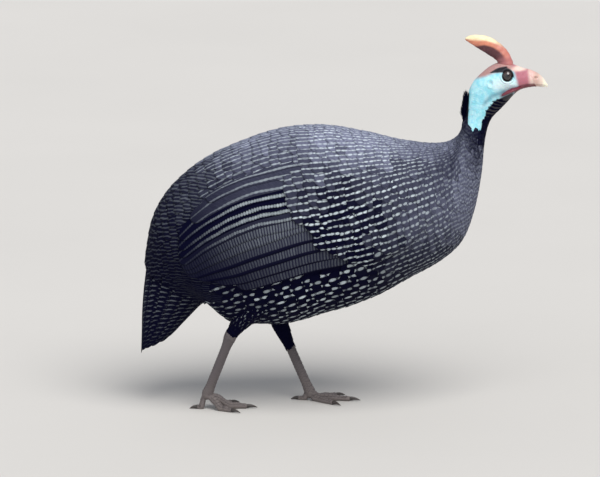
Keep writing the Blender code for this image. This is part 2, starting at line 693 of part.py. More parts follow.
def toes_of(leg):
    """Each toe of a foot: its word and its path; the raised foot's hind toe only tips the ground."""
    for word, turn, length, radius, tip_radius in TOES:
        hind = word == "hind"
        reach = length * (HIND_SHORT if hind and leg.bend > HEEL_UP else 1.0)
        centres, radii, way = toe_path(leg, turn, reach, radius, tip_radius)
        if hind:
            centres[1] = centres[1] + np.array([0.0, 0.0, HIND_ARCH])
        yield word, centres, radii, way


def make_foot(leg, shank):
    """One foot: four toes joined at the ball, with flat soles on the ground."""
    pieces = [tube("toe", "leg", centres, [(r, r) for r in radii], TOE_SIDES)
              for _, centres, radii, _ in toes_of(leg)]
    pieces.append(ball("pad", "leg", leg.joint, FOOT_PAD, 6, 10))
    foot = pieces[0]
    foot.name = "foot_" + leg.word
    combine(foot, pieces[1:], "UNION")
    combine(foot, [below_ground()], "DIFFERENCE")
    return clear_of(foot, shank)


def make_claws(leg, foot):
    """The claws of one foot, each curved down to just above the ground."""
    for word, centres, _, way in toes_of(leg):
        reach = CLAW_LENGTH * (HIND_CLAW if word == "hind" else 1.0)
        path = [centres[-1] + way * reach * run + np.array([0.0, 0.0, rise]) for run, rise, _ in CLAW_PATH]
        sizes = [CLAW_RADIUS * share for _, _, share in CLAW_PATH]
        for point, size in zip(path, sizes):
            point[2] = max(point[2], size + CLAW_CLEAR)
        claw = tube(f"claw_{leg.word}_{word}", "claw", path, [(s, CLAW_FLAT * s) for s in sizes], CLAW_SIDES)
        clear_of(claw, foot)


def below_ground():
    """A block whose top is the ground, to cut the soles flat."""
    wide, deep = GROUND_REACH, -GROUND_DEPTH
    rings = [np.array([(x, -wide, 0.0), (x, wide, 0.0), (x, wide, deep), (x, -wide, deep)])
             for x in (-wide, wide)]
    return loft("ground", "leg", rings)


def stand_on_origin():
    """Moves the whole bird so that the middle of its base is the origin."""
    corners = np.array([v.co for thing in bpy.data.objects for v in thing.data.vertices])
    low, high = corners.min(axis=0), corners.max(axis=0)
    shift = Vector(((low[0] + high[0]) / -2, (low[1] + high[1]) / -2, -low[2]))
    for thing in bpy.data.objects:
        for vertex in thing.data.vertices:
            vertex.co += shift


def main():
    """Builds the bird."""
    clear_scene()
    torso = make_torso()
    make_tail(torso)
    make_neck()
    head = make_head()
    upper_bill, lower_bill = make_bill()
    make_casque(head)
    for word, side in (("right", RIGHT), ("left", LEFT)):
        make_wattle(word, side, head, lower_bill, upper_bill)
        make_eye(word, side)
        make_wing(word, side, torso)
    for leg in LEGS:
        thigh = make_thigh(leg, torso)
        shank = make_shank(leg, thigh)
        foot = make_foot(leg, shank)
        make_claws(leg, foot)
    stand_on_origin()


main()
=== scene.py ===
"""A guinea fowl in mid stride, dressed as a museum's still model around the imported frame.

The bird faces +X and stands on Z = 0. Sizes are in millimetres until a mesh is made. The body is
one loft of leaning sections, and every feather lies on it: a place on the bird is a station of the
loft, which grows from the tail to the bill, and a turn in degrees down from the ridge of the back,
negative on the right side.
"""

import logging
import math
from collections import defaultdict
from dataclasses import dataclass, field
from enum import Enum

import bpy
import numpy as np
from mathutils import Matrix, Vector


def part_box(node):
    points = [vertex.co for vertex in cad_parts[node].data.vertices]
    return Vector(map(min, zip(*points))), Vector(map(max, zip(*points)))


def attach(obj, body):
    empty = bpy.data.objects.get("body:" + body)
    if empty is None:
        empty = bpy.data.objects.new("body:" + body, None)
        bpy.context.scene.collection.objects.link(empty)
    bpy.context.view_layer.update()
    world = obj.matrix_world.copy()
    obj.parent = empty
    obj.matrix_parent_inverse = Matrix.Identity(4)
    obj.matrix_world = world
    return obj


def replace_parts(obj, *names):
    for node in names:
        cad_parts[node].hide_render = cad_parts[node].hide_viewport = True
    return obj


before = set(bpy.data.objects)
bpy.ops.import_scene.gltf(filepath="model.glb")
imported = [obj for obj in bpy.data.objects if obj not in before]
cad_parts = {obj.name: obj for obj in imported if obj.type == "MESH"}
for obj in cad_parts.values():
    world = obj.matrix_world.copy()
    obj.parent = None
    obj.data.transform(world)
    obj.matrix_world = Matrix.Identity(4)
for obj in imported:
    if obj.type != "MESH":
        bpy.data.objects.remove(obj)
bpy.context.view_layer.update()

LOG = logging.getLogger("guinea_fowl")
Array = np.ndarray
Socket = bpy.types.NodeSocket
Colour = tuple[float, float, float]

MM = 0.001
BODY = "root"
SEED = 11
BAKE_MAP, BAKE_PATCH = "OFBake", 0.003

# Sections of the outline from tail tip to bill tip: top x and z, bottom x and z, half width.
OUTLINE = np.array([
    (-209.9, 54.5, -206.5, 51.5, 2.0),
    (-208.8, 78.8, -182.0, 68.3, 11.5),
    (-207.8, 105.0, -161.5, 89.3, 18.5),
    (-205.2, 136.6, -144.5, 106.0, 27.0),
    (-202.5, 164.9, -131.5, 108.1, 38.5),
    (-195.0, 199.6, -114.0, 89.4, 51.5),
    (-175.9, 231.1, -85.2, 87.2, 60.0),
    (-141.9, 259.5, -61.5, 87.2, 67.0),
    (-100.7, 278.9, -40.9, 91.4, 72.0),
    (-59.5, 291.5, -18.3, 98.8, 74.0),
    (-18.3, 294.1, 7.5, 106.0, 74.0),
    (22.9, 287.4, 38.4, 118.7, 71.0),
    (59.0, 279.0, 69.3, 136.1, 66.0),
    (87.8, 275.2, 100.2, 153.3, 57.0),
    (105.3, 276.3, 122.8, 174.3, 47.0),
    (115.6, 281.5, 135.2, 205.7, 34.0),
    (120.8, 288.9, 142.4, 243.8, 22.5),
    (122.3, 296.7, 145.0, 273.2, 15.5),
    (124.0, 305.6, 148.1, 291.0, 12.5),
    (126.0, 315.1, 153.0, 302.5, 12.0),
    (127.4, 323.5, 162.5, 312.6, 12.6),
    (129.5, 331.9, 171.0, 321.8, 13.6),
    (134.0, 340.4, 177.0, 328.2, 14.8),
    (141.0, 348.0, 181.0, 331.3, 15.6),
    (149.5, 355.0, 184.0, 332.6, 16.0),
    (157.5, 359.0, 187.0, 333.3, 15.3),
    (166.5, 359.8, 190.0, 333.9, 13.4),
    (176.0, 357.1, 192.6, 334.3, 11.0),
    (185.0, 353.9, 195.6, 334.5, 8.6),
    (192.0, 352.1, 199.0, 334.5, 6.9),
    (198.5, 349.1, 202.6, 334.1, 5.2),
    (204.5, 344.2, 206.2, 333.9, 3.4),
    (209.4, 336.7, 209.7, 334.1, 1.0),
])
EYE_X, EYE_Z, EYE_Y = 167.6, 347.8, 10.4


class Side(Enum):
    """The two sides of the bird, as the sign of Y."""

    RIGHT = -1
    LEFT = 1

    @property
    def word(self) -> str:
        """The side's name in lower case."""
        return self.name.lower()


def smooth(x: Array | float, start: float = 0.0, end: float = 1.0) -> Array:
    """A smooth step from 0 at start to 1 at end.

    Args:
        x: Where to read the step.
        start: Where it begins to rise.
        end: Where it reaches 1.

    Returns:
        The step's value, of the shape of x.
    """
    f = np.clip((np.asarray(x, float) - start) / (end - start), 0.0, 1.0)
    return f * f * (3 - 2 * f)


def ripple(points: Array, wave: float, seed: int, count: int = 14) -> Array:
    """A gentle random field over points, from waves in many directions.

    Args:
        points: Places in millimetres, with the last axis of 3.
        wave: The waves' length in millimetres.
        seed: The seed of their directions.
        count: How many waves there are.

    Returns:
        Values mostly between -1 and 1.
    """
    draw = np.random.default_rng(seed)
    ways = draw.normal(size=(3, count))
    ways *= 2 * math.pi / wave * draw.uniform(0.7, 1.3, count) / np.linalg.norm(ways, axis=0)
    return np.sin(points @ ways + draw.uniform(0, 2 * math.pi, count)).sum(axis=-1) * math.sqrt(1.0 / count)


def through(rows: Array, k: Array) -> Array:
    """Rows of a table at fractional stations, on a smooth curve through them.

    Args:
        rows: The table, one row for each whole station.
        k: Stations, of any shape.

    Returns:
        The rows there, with the table's columns as the last axis.
    """
    k = np.clip(np.asarray(k, float), 0.0, len(rows) - 1.0)
    i = np.minimum(k.astype(int), len(rows) - 2)
    f = (k - i)[..., None]
    padded = np.vstack([2 * rows[0] - rows[1], rows, 2 * rows[-1] - rows[-2]])
    before, here, after, beyond = (padded[i + n] for n in range(4))
    square = 2 * before - 5 * here + 4 * after - beyond
    cube = 3 * here - before - 3 * after + beyond
    return 0.5 * (2 * here + (after - before) * f + square * f**2 + cube * f**3)


@dataclass(frozen=True)
class Loft:
    """The bird's outline, as a surface read by station and turn."""

    egg: float = 0.07
    step: float = 0.04
    search_steps: int = 24

    def point(self, k: Array, turn: Array) -> Array:
        """The surface's points at stations and turns that broadcast together."""
        k, turn = np.broadcast_arrays(np.asarray(k, float), np.asarray(turn, float))
        top_x, top_z, foot_x, foot_z, half = np.moveaxis(through(OUTLINE, k), -1, 0)
        up = np.cos(np.radians(turn))
        across = np.sin(np.radians(turn)) * (1 - self.egg * up)
        x = (top_x + foot_x) / 2 + up * (top_x - foot_x) / 2
        z = (top_z + foot_z) / 2 + up * (top_z - foot_z) / 2
        return np.stack([x, half * across, z], -1)

    def normal(self, k: Array, turn: Array) -> Array:
        """The outward normals there."""
        ahead = self.point(k + self.step, turn) - self.point(k - self.step, turn)
        round_ = self.point(k, turn + 1.0) - self.point(k, turn - 1.0)
        normal = np.cross(ahead, round_)
        return normal / np.maximum(np.linalg.norm(normal, axis=-1, keepdims=True), 1e-9)

    def lifted(self, k: Array, turn: Array, lift: Array) -> Array:
        """Points that stand off the surface by lift."""
        return self.point(k, turn) + self.normal(k, turn) * np.asarray(lift)[..., None]

    def place(self, points: Array) -> tuple[Array, Array]:
        """The stations and turns whose section lines the points lie on in side view."""
        x, y, z = points.T
        low, high = np.zeros(len(points)), np.full(len(points), len(OUTLINE) - 1.0)
        for _ in range(self.search_steps):
            k = (low + high) / 2
            top_x, top_z, foot_x, foot_z, _half = through(OUTLINE, k).T
            behind = (x - top_x) * (foot_z - top_z) < (z - top_z) * (foot_x - top_x)
            low, high = np.where(behind, k, low), np.where(behind, high, k)
        share = (x - top_x) * (foot_x - top_x) + (z - top_z) * (foot_z - top_z)
        share = share / ((foot_x - top_x) ** 2 + (foot_z - top_z) ** 2)
        return k, np.degrees(np.arccos(np.clip(1 - 2 * share, -1.0, 1.0))) * np.where(y < 0, -1.0, 1.0)


LOFT = Loft()


@dataclass(frozen=True)
class Lie:
    """The way the feathers lie: lanes that run back from the neck, and slant on the shoulder.

    A lane is named by its turn at the rear. In front of the rear station it slants by the drift.
    """

    rear: float = 9.5
    front: float = 13.5
    drift_at: tuple[float, ...] = (0.0, 70.0, 100.0, 125.0, 150.0, 180.0)
    drift: tuple[float, ...] = (-26.0, -26.0, -9.0, 2.0, 19.0, 21.0)

    def turn(self, k: Array, lane: Array) -> Array:
        """The turn of a lane at station k, on the left side for a lane of zero or more."""
        size = np.abs(lane)
        sign = np.where(np.asarray(lane) < 0, -1.0, 1.0)
        return sign * (size + smooth(k, self.rear, self.front) * np.interp(size, self.drift_at, self.drift))

    def spread(self, k: Array, lane: Array) -> Array:
        """Degrees of turn for each degree of lane, at station k."""
        size = np.abs(lane) + 1e-6
        return (self.turn(k, size + 2.0) - self.turn(k, size - 2.0)) / 4.0

    def lane(self, k: Array, turn: Array) -> Array:
        """The lane that passes a place, found by a few rounds of guessing."""
        lane = np.abs(turn)
        for _ in range(6):
            lane = lane - 0.8 * (self.turn(k, lane) - np.abs(turn))
        return lane * np.where(turn < 0, -1.0, 1.0)


LIE = Lie()


@dataclass(frozen=True)
class WingPlace:
    """Where the folded wing lies, and how far it stands off the flank."""

    stations: tuple[float, ...] = (4.9, 6.0, 7.2, 8.4, 9.6, 10.8, 12.0, 12.7)
    top: tuple[float, ...] = (92.0, 72.0, 57.0, 49.0, 46.0, 47.0, 54.0, 72.0)
    foot: tuple[float, ...] = (107.0, 108.0, 109.0, 110.0, 113.0, 118.5, 113.0, 98.0)
    lift_at: tuple[float, ...] = (4.6, 5.2, 7.4, 8.4, 9.65, 10.9, 11.8, 12.4, 13.0)
    lifts: tuple[float, ...] = (0.0, 1.2, 1.9, 3.6, 5.0, 6.2, 5.0, 2.2, 0.0)
    end_at: tuple[float, ...] = (0.0, 78.0, 86.0, 94.5, 101.0, 110.0, 180.0)
    ends: tuple[float, ...] = (8.5, 8.5, 8.8, 9.1, 9.45, 10.1, 10.1)
    tips_from: float = 5.3
    bare_top: tuple[float, ...] = (66.0, 62.0, 51.0, 43.0, 41.0, 43.0, 54.0, 72.0)
    bare_foot: tuple[float, ...] = (90.0, 98.0, 107.0, 114.0, 116.5, 116.5, 110.0, 98.0)

    def covert_end(self, turn: Array) -> Array:
        """The station where the coverts end and the flight feathers show."""
        return np.interp(np.abs(turn), self.end_at, self.ends)

    def share(self, k: Array, turn: Array) -> Array:
        """How far down the wing a place is: 0 at its top edge and 1 at its lower one."""
        top, foot = np.interp(k, self.stations, self.top), np.interp(k, self.stations, self.foot)
        return (np.abs(turn) - top) / (foot - top)

    def lift(self, k: Array, turn: Array) -> Array:
        """How far the wing stands off the outline there, in millimetres."""
        share = self.share(k, turn)
        across = smooth(share, -0.12, 0.2) * (1 - smooth(share, 0.9, 1.04))
        return np.interp(k, self.lift_at, self.lifts) * across

    def holds(self, k: Array, turn: Array) -> Array:
        """True where the flight feathers take the place of the body's."""
        size = np.abs(turn)
        between = (size > np.interp(k, self.stations, self.bare_top))
        between &= size < np.interp(k, self.stations, self.bare_foot)
        return between & (k < self.covert_end(turn)) & (k > self.tips_from)


WING = WingPlace()


class Graph:
    """A node tree, built with short calls."""

    def __init__(self, tree: bpy.types.NodeTree) -> None:
        """Keeps the tree."""
        self.tree = tree

    def plug(self, socket: Socket, value: object) -> None:
        """Links a socket to another, or sets it to a number, vector or colour."""
        if isinstance(value, Socket):
            self.tree.links.new(value, socket)
        elif isinstance(value, tuple) and len(value) == 3 and socket.type == "RGBA":
            socket.default_value = (*value, 1.0)
        else:
            socket.default_value = value

    def add(self, kind: str, inputs: dict | None = None, **settings: object) -> bpy.types.Node:
        """One node.

        Args:
            kind: The node's type, without "ShaderNode".
            inputs: Values or sockets for its inputs, by name or number.
            settings: The node's own properties.

        Returns:
            The node.
        """
        node = self.tree.nodes.new("ShaderNode" + kind)
        for name, value in settings.items():
            setattr(node, name, value)
        for name, value in (inputs or {}).items():
            self.plug(node.inputs[name], value)
        return node

    def math(self, operation: str, *values: object) -> Socket:
        """A Math node's result."""
        return self.add("Math", dict(enumerate(values)), operation=operation).outputs[0]

    def step(self, value: object, start: float, end: float) -> Socket:
        """A smooth step of a value between two others."""
        inputs = {"Value": value, "From Min": start, "From Max": end}
        return self.add("MapRange", inputs, interpolation_type="SMOOTHSTEP").outputs[0]

    def mix(self, share: object, first: object, second: object) -> Socket:
        """A mix of two colours."""
        node = self.add("Mix", data_type="RGBA")
        for socket, value in zip((node.inputs[0], node.inputs[6], node.inputs[7]), (share, first, second)):
            self.plug(socket, value)
        return node.outputs[2]

    def noise(self, vector: object, scale: float, detail: float = 2.0, rough: float = 0.5) -> Socket:
        """A noise's value."""
        inputs = {"Vector": vector, "Scale": scale, "Detail": detail, "Roughness": rough}
        return self.add("TexNoise", inputs).outputs["Fac"]

    def attribute(self, name: str) -> bpy.types.Node:
        """The node that reads a mesh attribute."""
        return self.add("Attribute", attribute_name=name)

    def parts(self, vector: object) -> list[Socket]:
        """The three parts of a vector."""
        return list(self.add("SeparateXYZ", {0: vector}).outputs)

    def vector(self, x: object, y: object, z: object) -> Socket:
        """A vector of three parts."""
        return self.add("CombineXYZ", {0: x, 1: y, 2: z}).outputs[0]

    def place(self) -> Socket:
        """The place on the object, in metres."""
        return self.add("TexCoord").outputs["Object"]


def new_group(name: str, inputs: dict[str, str], outputs: dict[str, str]) -> tuple:
    """An empty node group.

    Args:
        name: The group's name.
        inputs: The kinds of its inputs by name, such as NodeSocketFloat.
        outputs: The same for its outputs.

    Returns:
        The group, its graph, its input node and its output node.
    """
    tree = bpy.data.node_groups.new(name, "ShaderNodeTree")
    for words, way in ((inputs, "INPUT"), (outputs, "OUTPUT")):
        for word, kind in words.items():
            tree.interface.new_socket(word, in_out=way, socket_type=kind)
    return tree, Graph(tree), tree.nodes.new("NodeGroupInput"), tree.nodes.new("NodeGroupOutput")


def use_group(graph: Graph, tree: bpy.types.NodeTree, inputs: dict) -> bpy.types.Node:
    """A group's node in a graph, with its inputs set or linked."""
    node = graph.add("Group", node_tree=tree)
    for name, value in inputs.items():
        graph.plug(node.inputs[name], value)
    return node


FLOAT, VECTOR = "NodeSocketFloat", "NodeSocketVector"


class Effects:
    """The shader effects that several finishes share, each a node group."""

    def __init__(self) -> None:
        """Builds every group once."""
        self.marks = self.make_marks()
        self.barbs = self.make_barbs()
        self.pores = self.make_pores()

    def make_marks(self) -> bpy.types.NodeTree:
        """The spots, dashes and bars of a feather, in rows along and across its vane.

        Returns:
            The group. Vane is (lanes across, millimetres from the tip, seed), Cells is (rows to a
            lane, pitch along, shift of the rows) and Spot is (half width, half length, strength).
            Slant is how far the rows across lean, in millimetres to a lane.
        """
        inputs = {"Vane": VECTOR, "Cells": VECTOR, "Spot": VECTOR, "Slant": FLOAT}
        tree, g, source, sink = new_group("Feather Marks", inputs, {"Mark": FLOAT})
        across, along, seed = g.parts(source.outputs["Vane"])
        rows, pitch, shift = g.parts(source.outputs["Cells"])
        wide, long, strength = g.parts(source.outputs["Spot"])
        drift = g.noise(g.vector(across, g.math("MULTIPLY", along, 0.03), g.math("MULTIPLY", seed, 40.0)), 1.6)
        across = g.math("MULTIPLY_ADD", g.math("SUBTRACT", drift, 0.5), 0.22, across)
        row = g.math("MULTIPLY_ADD", across, rows, shift)
        start = g.add("TexWhiteNoise", {"Vector": g.vector(g.math("FLOOR", row), 0.5, seed)}).outputs["Value"]
        start = g.math("MULTIPLY", start, g.math("LESS_THAN", wide, 1.0))
        along = g.math("MULTIPLY_ADD", across, source.outputs["Slant"], along)
        run = g.math("ADD", g.math("DIVIDE", along, pitch), start)
        run = g.math("MULTIPLY_ADD", g.math("SUBTRACT", drift, 0.5), 0.5, run)
        x = g.math("DIVIDE", g.math("SUBTRACT", g.math("FRACT", row), 0.5), wide)
        y = g.math("DIVIDE", g.math("SUBTRACT", g.math("FRACT", run), 0.5), long)
        near = g.math("SQRT", g.math("ADD", g.math("MULTIPLY", x, x), g.math("MULTIPLY", y, y)))
        cell = g.vector(g.math("FLOOR", row), g.math("FLOOR", run), seed)
        chance = g.add("TexWhiteNoise", {"Vector": cell}).outputs["Value"]
        spot = g.math("SUBTRACT", 1.0, g.step(near, 0.66, 1.12))
        spot = g.math("MULTIPLY", spot, g.math("MULTIPLY_ADD", chance, 0.45, 0.6))
        g.plug(sink.inputs["Mark"], g.math("MULTIPLY", spot, strength))
        return tree

    def make_barbs(self) -> bpy.types.NodeTree:
        """The fine barbs that slant away from a feather's shaft, and the shaft.

        Returns:
            The group. Vane is as in the marks. Barbs and Shaft are masks from 0 to 1.
        """
        tree, g, source, sink = new_group("Feather Barbs", {"Vane": VECTOR}, {"Barbs": FLOAT, "Shaft": FLOAT})
        across, along, seed = g.parts(source.outputs["Vane"])
        size = g.math("ABSOLUTE", across)
        slant = g.math("MULTIPLY_ADD", size, -9.0, along)
        barbs = g.noise(g.vector(slant, g.math("MULTIPLY", size, 0.7), g.math("MULTIPLY", seed, 60.0)), 2.6, 3.0, 0.6)
        g.plug(sink.inputs["Barbs"], g.step(barbs, 0.3, 0.7))
        g.plug(sink.inputs["Shaft"], g.math("SUBTRACT", 1.0, g.step(size, 0.012, 0.045)))
        return tree

    def make_pores(self) -> bpy.types.NodeTree:
        """Fine wrinkles and pores of skin or horn.

        Returns:
            The group. Place is in metres, Grain is the number of pores to a metre, and Height is a
            value for a Bump node.
        """
        tree, g, source, sink = new_group("Skin Pores", {"Place": VECTOR, "Grain": FLOAT}, {"Height": FLOAT, "Patch": FLOAT})
        cells = g.add("TexVoronoi", {"Vector": source.outputs["Place"], "Scale": source.outputs["Grain"]})
        folds = g.add("TexNoise", {"Vector": source.outputs["Place"], "Scale": source.outputs["Grain"], "Detail": 4.0})
        patch = g.add("TexNoise", {
            "Vector": source.outputs["Place"], "Detail": 2.0,
            "Scale": g.math("MULTIPLY", source.outputs["Grain"], 0.12)})
        g.plug(sink.inputs["Height"], g.math("MULTIPLY_ADD", cells.outputs["Distance"], 0.7, folds.outputs["Fac"]))
        g.plug(sink.inputs["Patch"], patch.outputs["Fac"])
        return tree


def new_material(name: str, rough: float, **settings: float) -> tuple:
    """A Principled material.

    Args:
        name: The material's name.
        rough: Its roughness.
        settings: Other inputs of the shader, with underscores for spaces.

    Returns:
        The material, its graph and its Principled node.
    """
    made = bpy.data.materials.new(name)
    made.use_nodes = True
    shader = made.node_tree.nodes["Principled BSDF"]
    shader.inputs["Roughness"].default_value = rough
    for word, value in settings.items():
        shader.inputs[word.replace("_", " ")].default_value = value
    return made, Graph(made.node_tree), shader


@dataclass(frozen=True)
class PlumageFinish:
    """The feathers: blue-black webs with white marks, and grey-lavender ones on back and breast. Their blue cast is
    partly the plumage's own slate tone and partly painted skylight.
    """

    # The blue in the black and in the white marks is partly the plumage's own slate tone and partly painted skylight.
    black: Colour = (0.0011, 0.0012, 0.0138)
    grey: Colour = (0.37, 0.392, 0.55)
    white: Colour = (0.76, 0.86, 0.90)
    rough: float = 0.8
    soft: float = 0.05

    def colour(self, g: Graph, effects: Effects) -> tuple[Socket, Socket]:
        """The colour and the height of the barbs, from the feathers' own attributes."""
        vane, ground = g.attribute("vane").outputs["Vector"], g.attribute("ground").outputs["Vector"]
        marks = use_group(g, effects.marks, {
            "Vane": vane, "Cells": g.attribute("cells").outputs["Vector"],
            "Spot": g.attribute("spot").outputs["Vector"], "Slant": g.parts(ground)[2]})
        barbs = use_group(g, effects.barbs, {"Vane": vane})
        tone, edge, _ = g.parts(ground)
        across = g.parts(vane)[0]
        streak = g.math("MULTIPLY_ADD", barbs.outputs["Barbs"], 0.7, 0.65)
        web = g.mix(g.math("MULTIPLY", tone, streak), self.black, self.grey)
        mark = g.math("MULTIPLY", marks.outputs["Mark"], g.math("MULTIPLY_ADD", barbs.outputs["Barbs"], 0.3, 0.7))
        inside = g.math("SUBTRACT", 1.0, g.step(g.math("SUBTRACT", across, edge), -self.soft, self.soft))
        colour = g.mix(g.math("MULTIPLY", mark, inside), web, self.white)
        dim = g.math("MULTIPLY_ADD", inside, 0.85, 0.15)
        height = g.math("ADD", barbs.outputs["Barbs"], g.math("MULTIPLY", barbs.outputs["Shaft"], 2.0))
        return g.mix(dim, self.black, colour), height

    def material(self, effects: Effects) -> bpy.types.Material:
        """Builds the finish."""
        made, g, shader = new_material("plumage", self.rough, Specular_IOR_Level=0.05)
        colour, height = self.colour(g, effects)
        g.plug(shader.inputs["Base Color"], colour)
        bump = g.add("Bump", {"Height": height, "Strength": 0.35, "Distance": 0.00025})
        g.plug(shader.inputs["Normal"], bump.outputs[0])
        return made


@dataclass(frozen=True)
class FeatherForm:
    """The grid of one kind of vane, and how its edges round off and fray."""

    columns: int = 9
    rows: int = 8
    tip_round: float = 0.27
    root_half: float = 0.5
    thick: float = 0.3
    edge_thick: float = 0.1
    fray: float = 0.035
    arch: float = 0.25

    def grid(self) -> tuple[Array, Array]:
        """Each point's place across, from -1 to 1, and along, from 0 at the tip to 1 at the root."""
        across = np.linspace(-1.0, 1.0, self.columns)
        along = np.linspace(0.0, 1.0, self.rows) ** 1.25
        u, v = np.meshgrid(across, along)
        tip = self.tip_round * (1 - np.sqrt(1 - 0.97 * u**2))
        return u * (1 - (1 - self.root_half) * smooth(v, 0.5, 1.0)), v + (1 - v) * tip

    def faces(self) -> tuple[Array, Array]:
        """The quads of both faces, outwards, and those of the rim, for points of top then bottom."""
        r, c = self.rows, self.columns
        i = np.arange(r * c).reshape(r, c)
        sheet = np.stack([i[:-1, :-1], i[:-1, 1:], i[1:, 1:], i[1:, :-1]], -1).reshape(-1, 4)
        loop = np.concatenate([i[0, :], i[1:, -1], i[-1, -2::-1], i[-2:0:-1, 0]])
        after = np.roll(loop, -1)
        rim = np.stack([after, loop, loop + r * c, after + r * c], -1)
        return np.concatenate([sheet, sheet[:, ::-1] + r * c]), rim


class Coat:
    """Feathers gathered into one piece, as arrays that grow and then make one mesh."""

    def __init__(self, name: str, slot: str) -> None:
        """Names the piece and its slot."""
        self.name = name
        self.slot = slot
        self.points: list[Array] = []
        self.quads: list[Array] = []
        self.rims: list[Array] = []
        self.uvs: list[Array] = []
        self.values: dict[str, list[Array]] = defaultdict(list)
        self.count = 0

    def add(self, form: FeatherForm, points: Array, patch: Array, values: dict[str, Array]) -> None:
        """Adds feathers of one form.

        Args:
            form: Their grid.
            points: Their points, as (feather, top and bottom point, 3).
            patch: The place of each feather's patch on the unwrap, as (feather, 2).
            values: The attributes of every point, as (feather, point, 3).
        """
        feathers, per, _ = points.shape
        offsets = (self.count + np.arange(feathers) * per)[:, None, None]
        sheets, rim = form.faces()
        self.points.append(points.reshape(-1, 3))
        self.quads.append((sheets[None] + offsets).reshape(-1, 4))
        self.rims.append((rim[None] + offsets).reshape(-1, 4))
        u, v = form.grid()
        small = np.stack([v.ravel() - 0.5, u.ravel() / 2], -1) * BAKE_PATCH
        small = np.concatenate([small, small])
        self.uvs.append((patch[:, None, :] + small[None]).reshape(-1, 2))
        for name, value in values.items():
            self.values[name].append(np.broadcast_to(value, points.shape).reshape(-1, 3))
        self.count += feathers * per

    def build(self, material: bpy.types.Material) -> bpy.types.Object:
        """Makes the piece.

        Args:
            material: Its finish.

        Returns:
            The object, riding on the bird.
        """
        points = np.concatenate(self.points)
        quads, rims = np.concatenate(self.quads), np.concatenate(self.rims)
        faces = np.concatenate([quads, rims])
        made = new_mesh(self.name, points, [quads, rims], material, flat=(1,))
        layer = made.data.uv_layers.new(name=BAKE_MAP)
        layer.data.foreach_set("uv", np.concatenate(self.uvs)[faces.ravel()].astype(np.float32).ravel())
        for name, value in self.values.items():
            attribute = made.data.attributes.new(name, "FLOAT_VECTOR", "POINT")
            attribute.data.foreach_set("vector", np.concatenate(value).astype(np.float32).ravel())
        place_piece(made, self.slot)
        LOG.info("%s: %d triangles", self.name, 2 * len(faces))
        return made


def frame_shift() -> Array:
    """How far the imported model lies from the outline's own numbers, in millimetres."""
    low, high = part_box("eye_right")
    return np.array([(low.x + high.x) / 2 / MM - EYE_X, 0.0, (low.z + high.z) / 2 / MM - EYE_Z])


SHIFT = frame_shift()


def new_mesh(name: str, points: Array, faces: list[Array], material: bpy.types.Material,
             flat: tuple[int, ...] = ()) -> bpy.types.Object:
    """An object from points in millimetres and arrays of faces.

    Args:
        name: The object's name.
        points: Its points.
        faces: Its faces, in arrays of quads or of triangles.
        material: Its finish.
        flat: The numbers of the arrays whose faces are shaded flat.

    Returns:
        The object, in the scene.
    """
    mesh = bpy.data.meshes.new(name)
    mesh.vertices.add(len(points))
    mesh.vertices.foreach_set("co", ((points + SHIFT) * MM).astype(np.float32).ravel())
    corners = np.concatenate([part.ravel() for part in faces]).astype(np.int32)
    sizes = np.concatenate([np.full(len(part), part.shape[1]) for part in faces])
    mesh.loops.add(len(corners))
    mesh.loops.foreach_set("vertex_index", corners)
    mesh.polygons.add(len(sizes))
    mesh.polygons.foreach_set("loop_start", (np.cumsum(sizes) - sizes).astype(np.int32))
    shaded = np.concatenate([np.full(len(part), number not in flat) for number, part in enumerate(faces)])
    mesh.polygons.foreach_set("use_smooth", shaded)
    mesh.update(calc_edges=True)
    mesh.materials.append(material)
    made = bpy.data.objects.new(name, mesh)
    bpy.context.scene.collection.objects.link(made)
    return made


def bake_place(k: Array, turn: Array) -> Array:
    """The place on the skin's unwrap of stations and turns."""
    return np.stack([k / len(OUTLINE), (np.asarray(turn) + 182.0) / 364.0], -1)


def place_piece(made: bpy.types.Object, slot: str, *replaced: str) -> bpy.types.Object:
    """Sets a piece on the bird, and hides the nodes it stands for."""
    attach(made, BODY)
    if replaced:
        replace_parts(made, *replaced)
    return made


NO_EDGE = 9.0


@dataclass(frozen=True)
class Area:
    """How the feathers are marked round one place on the bird."""

    station: float
    turn: float
    rows: float
    pitch: float
    wide: float
    long: float
    strength: float
    tone: float


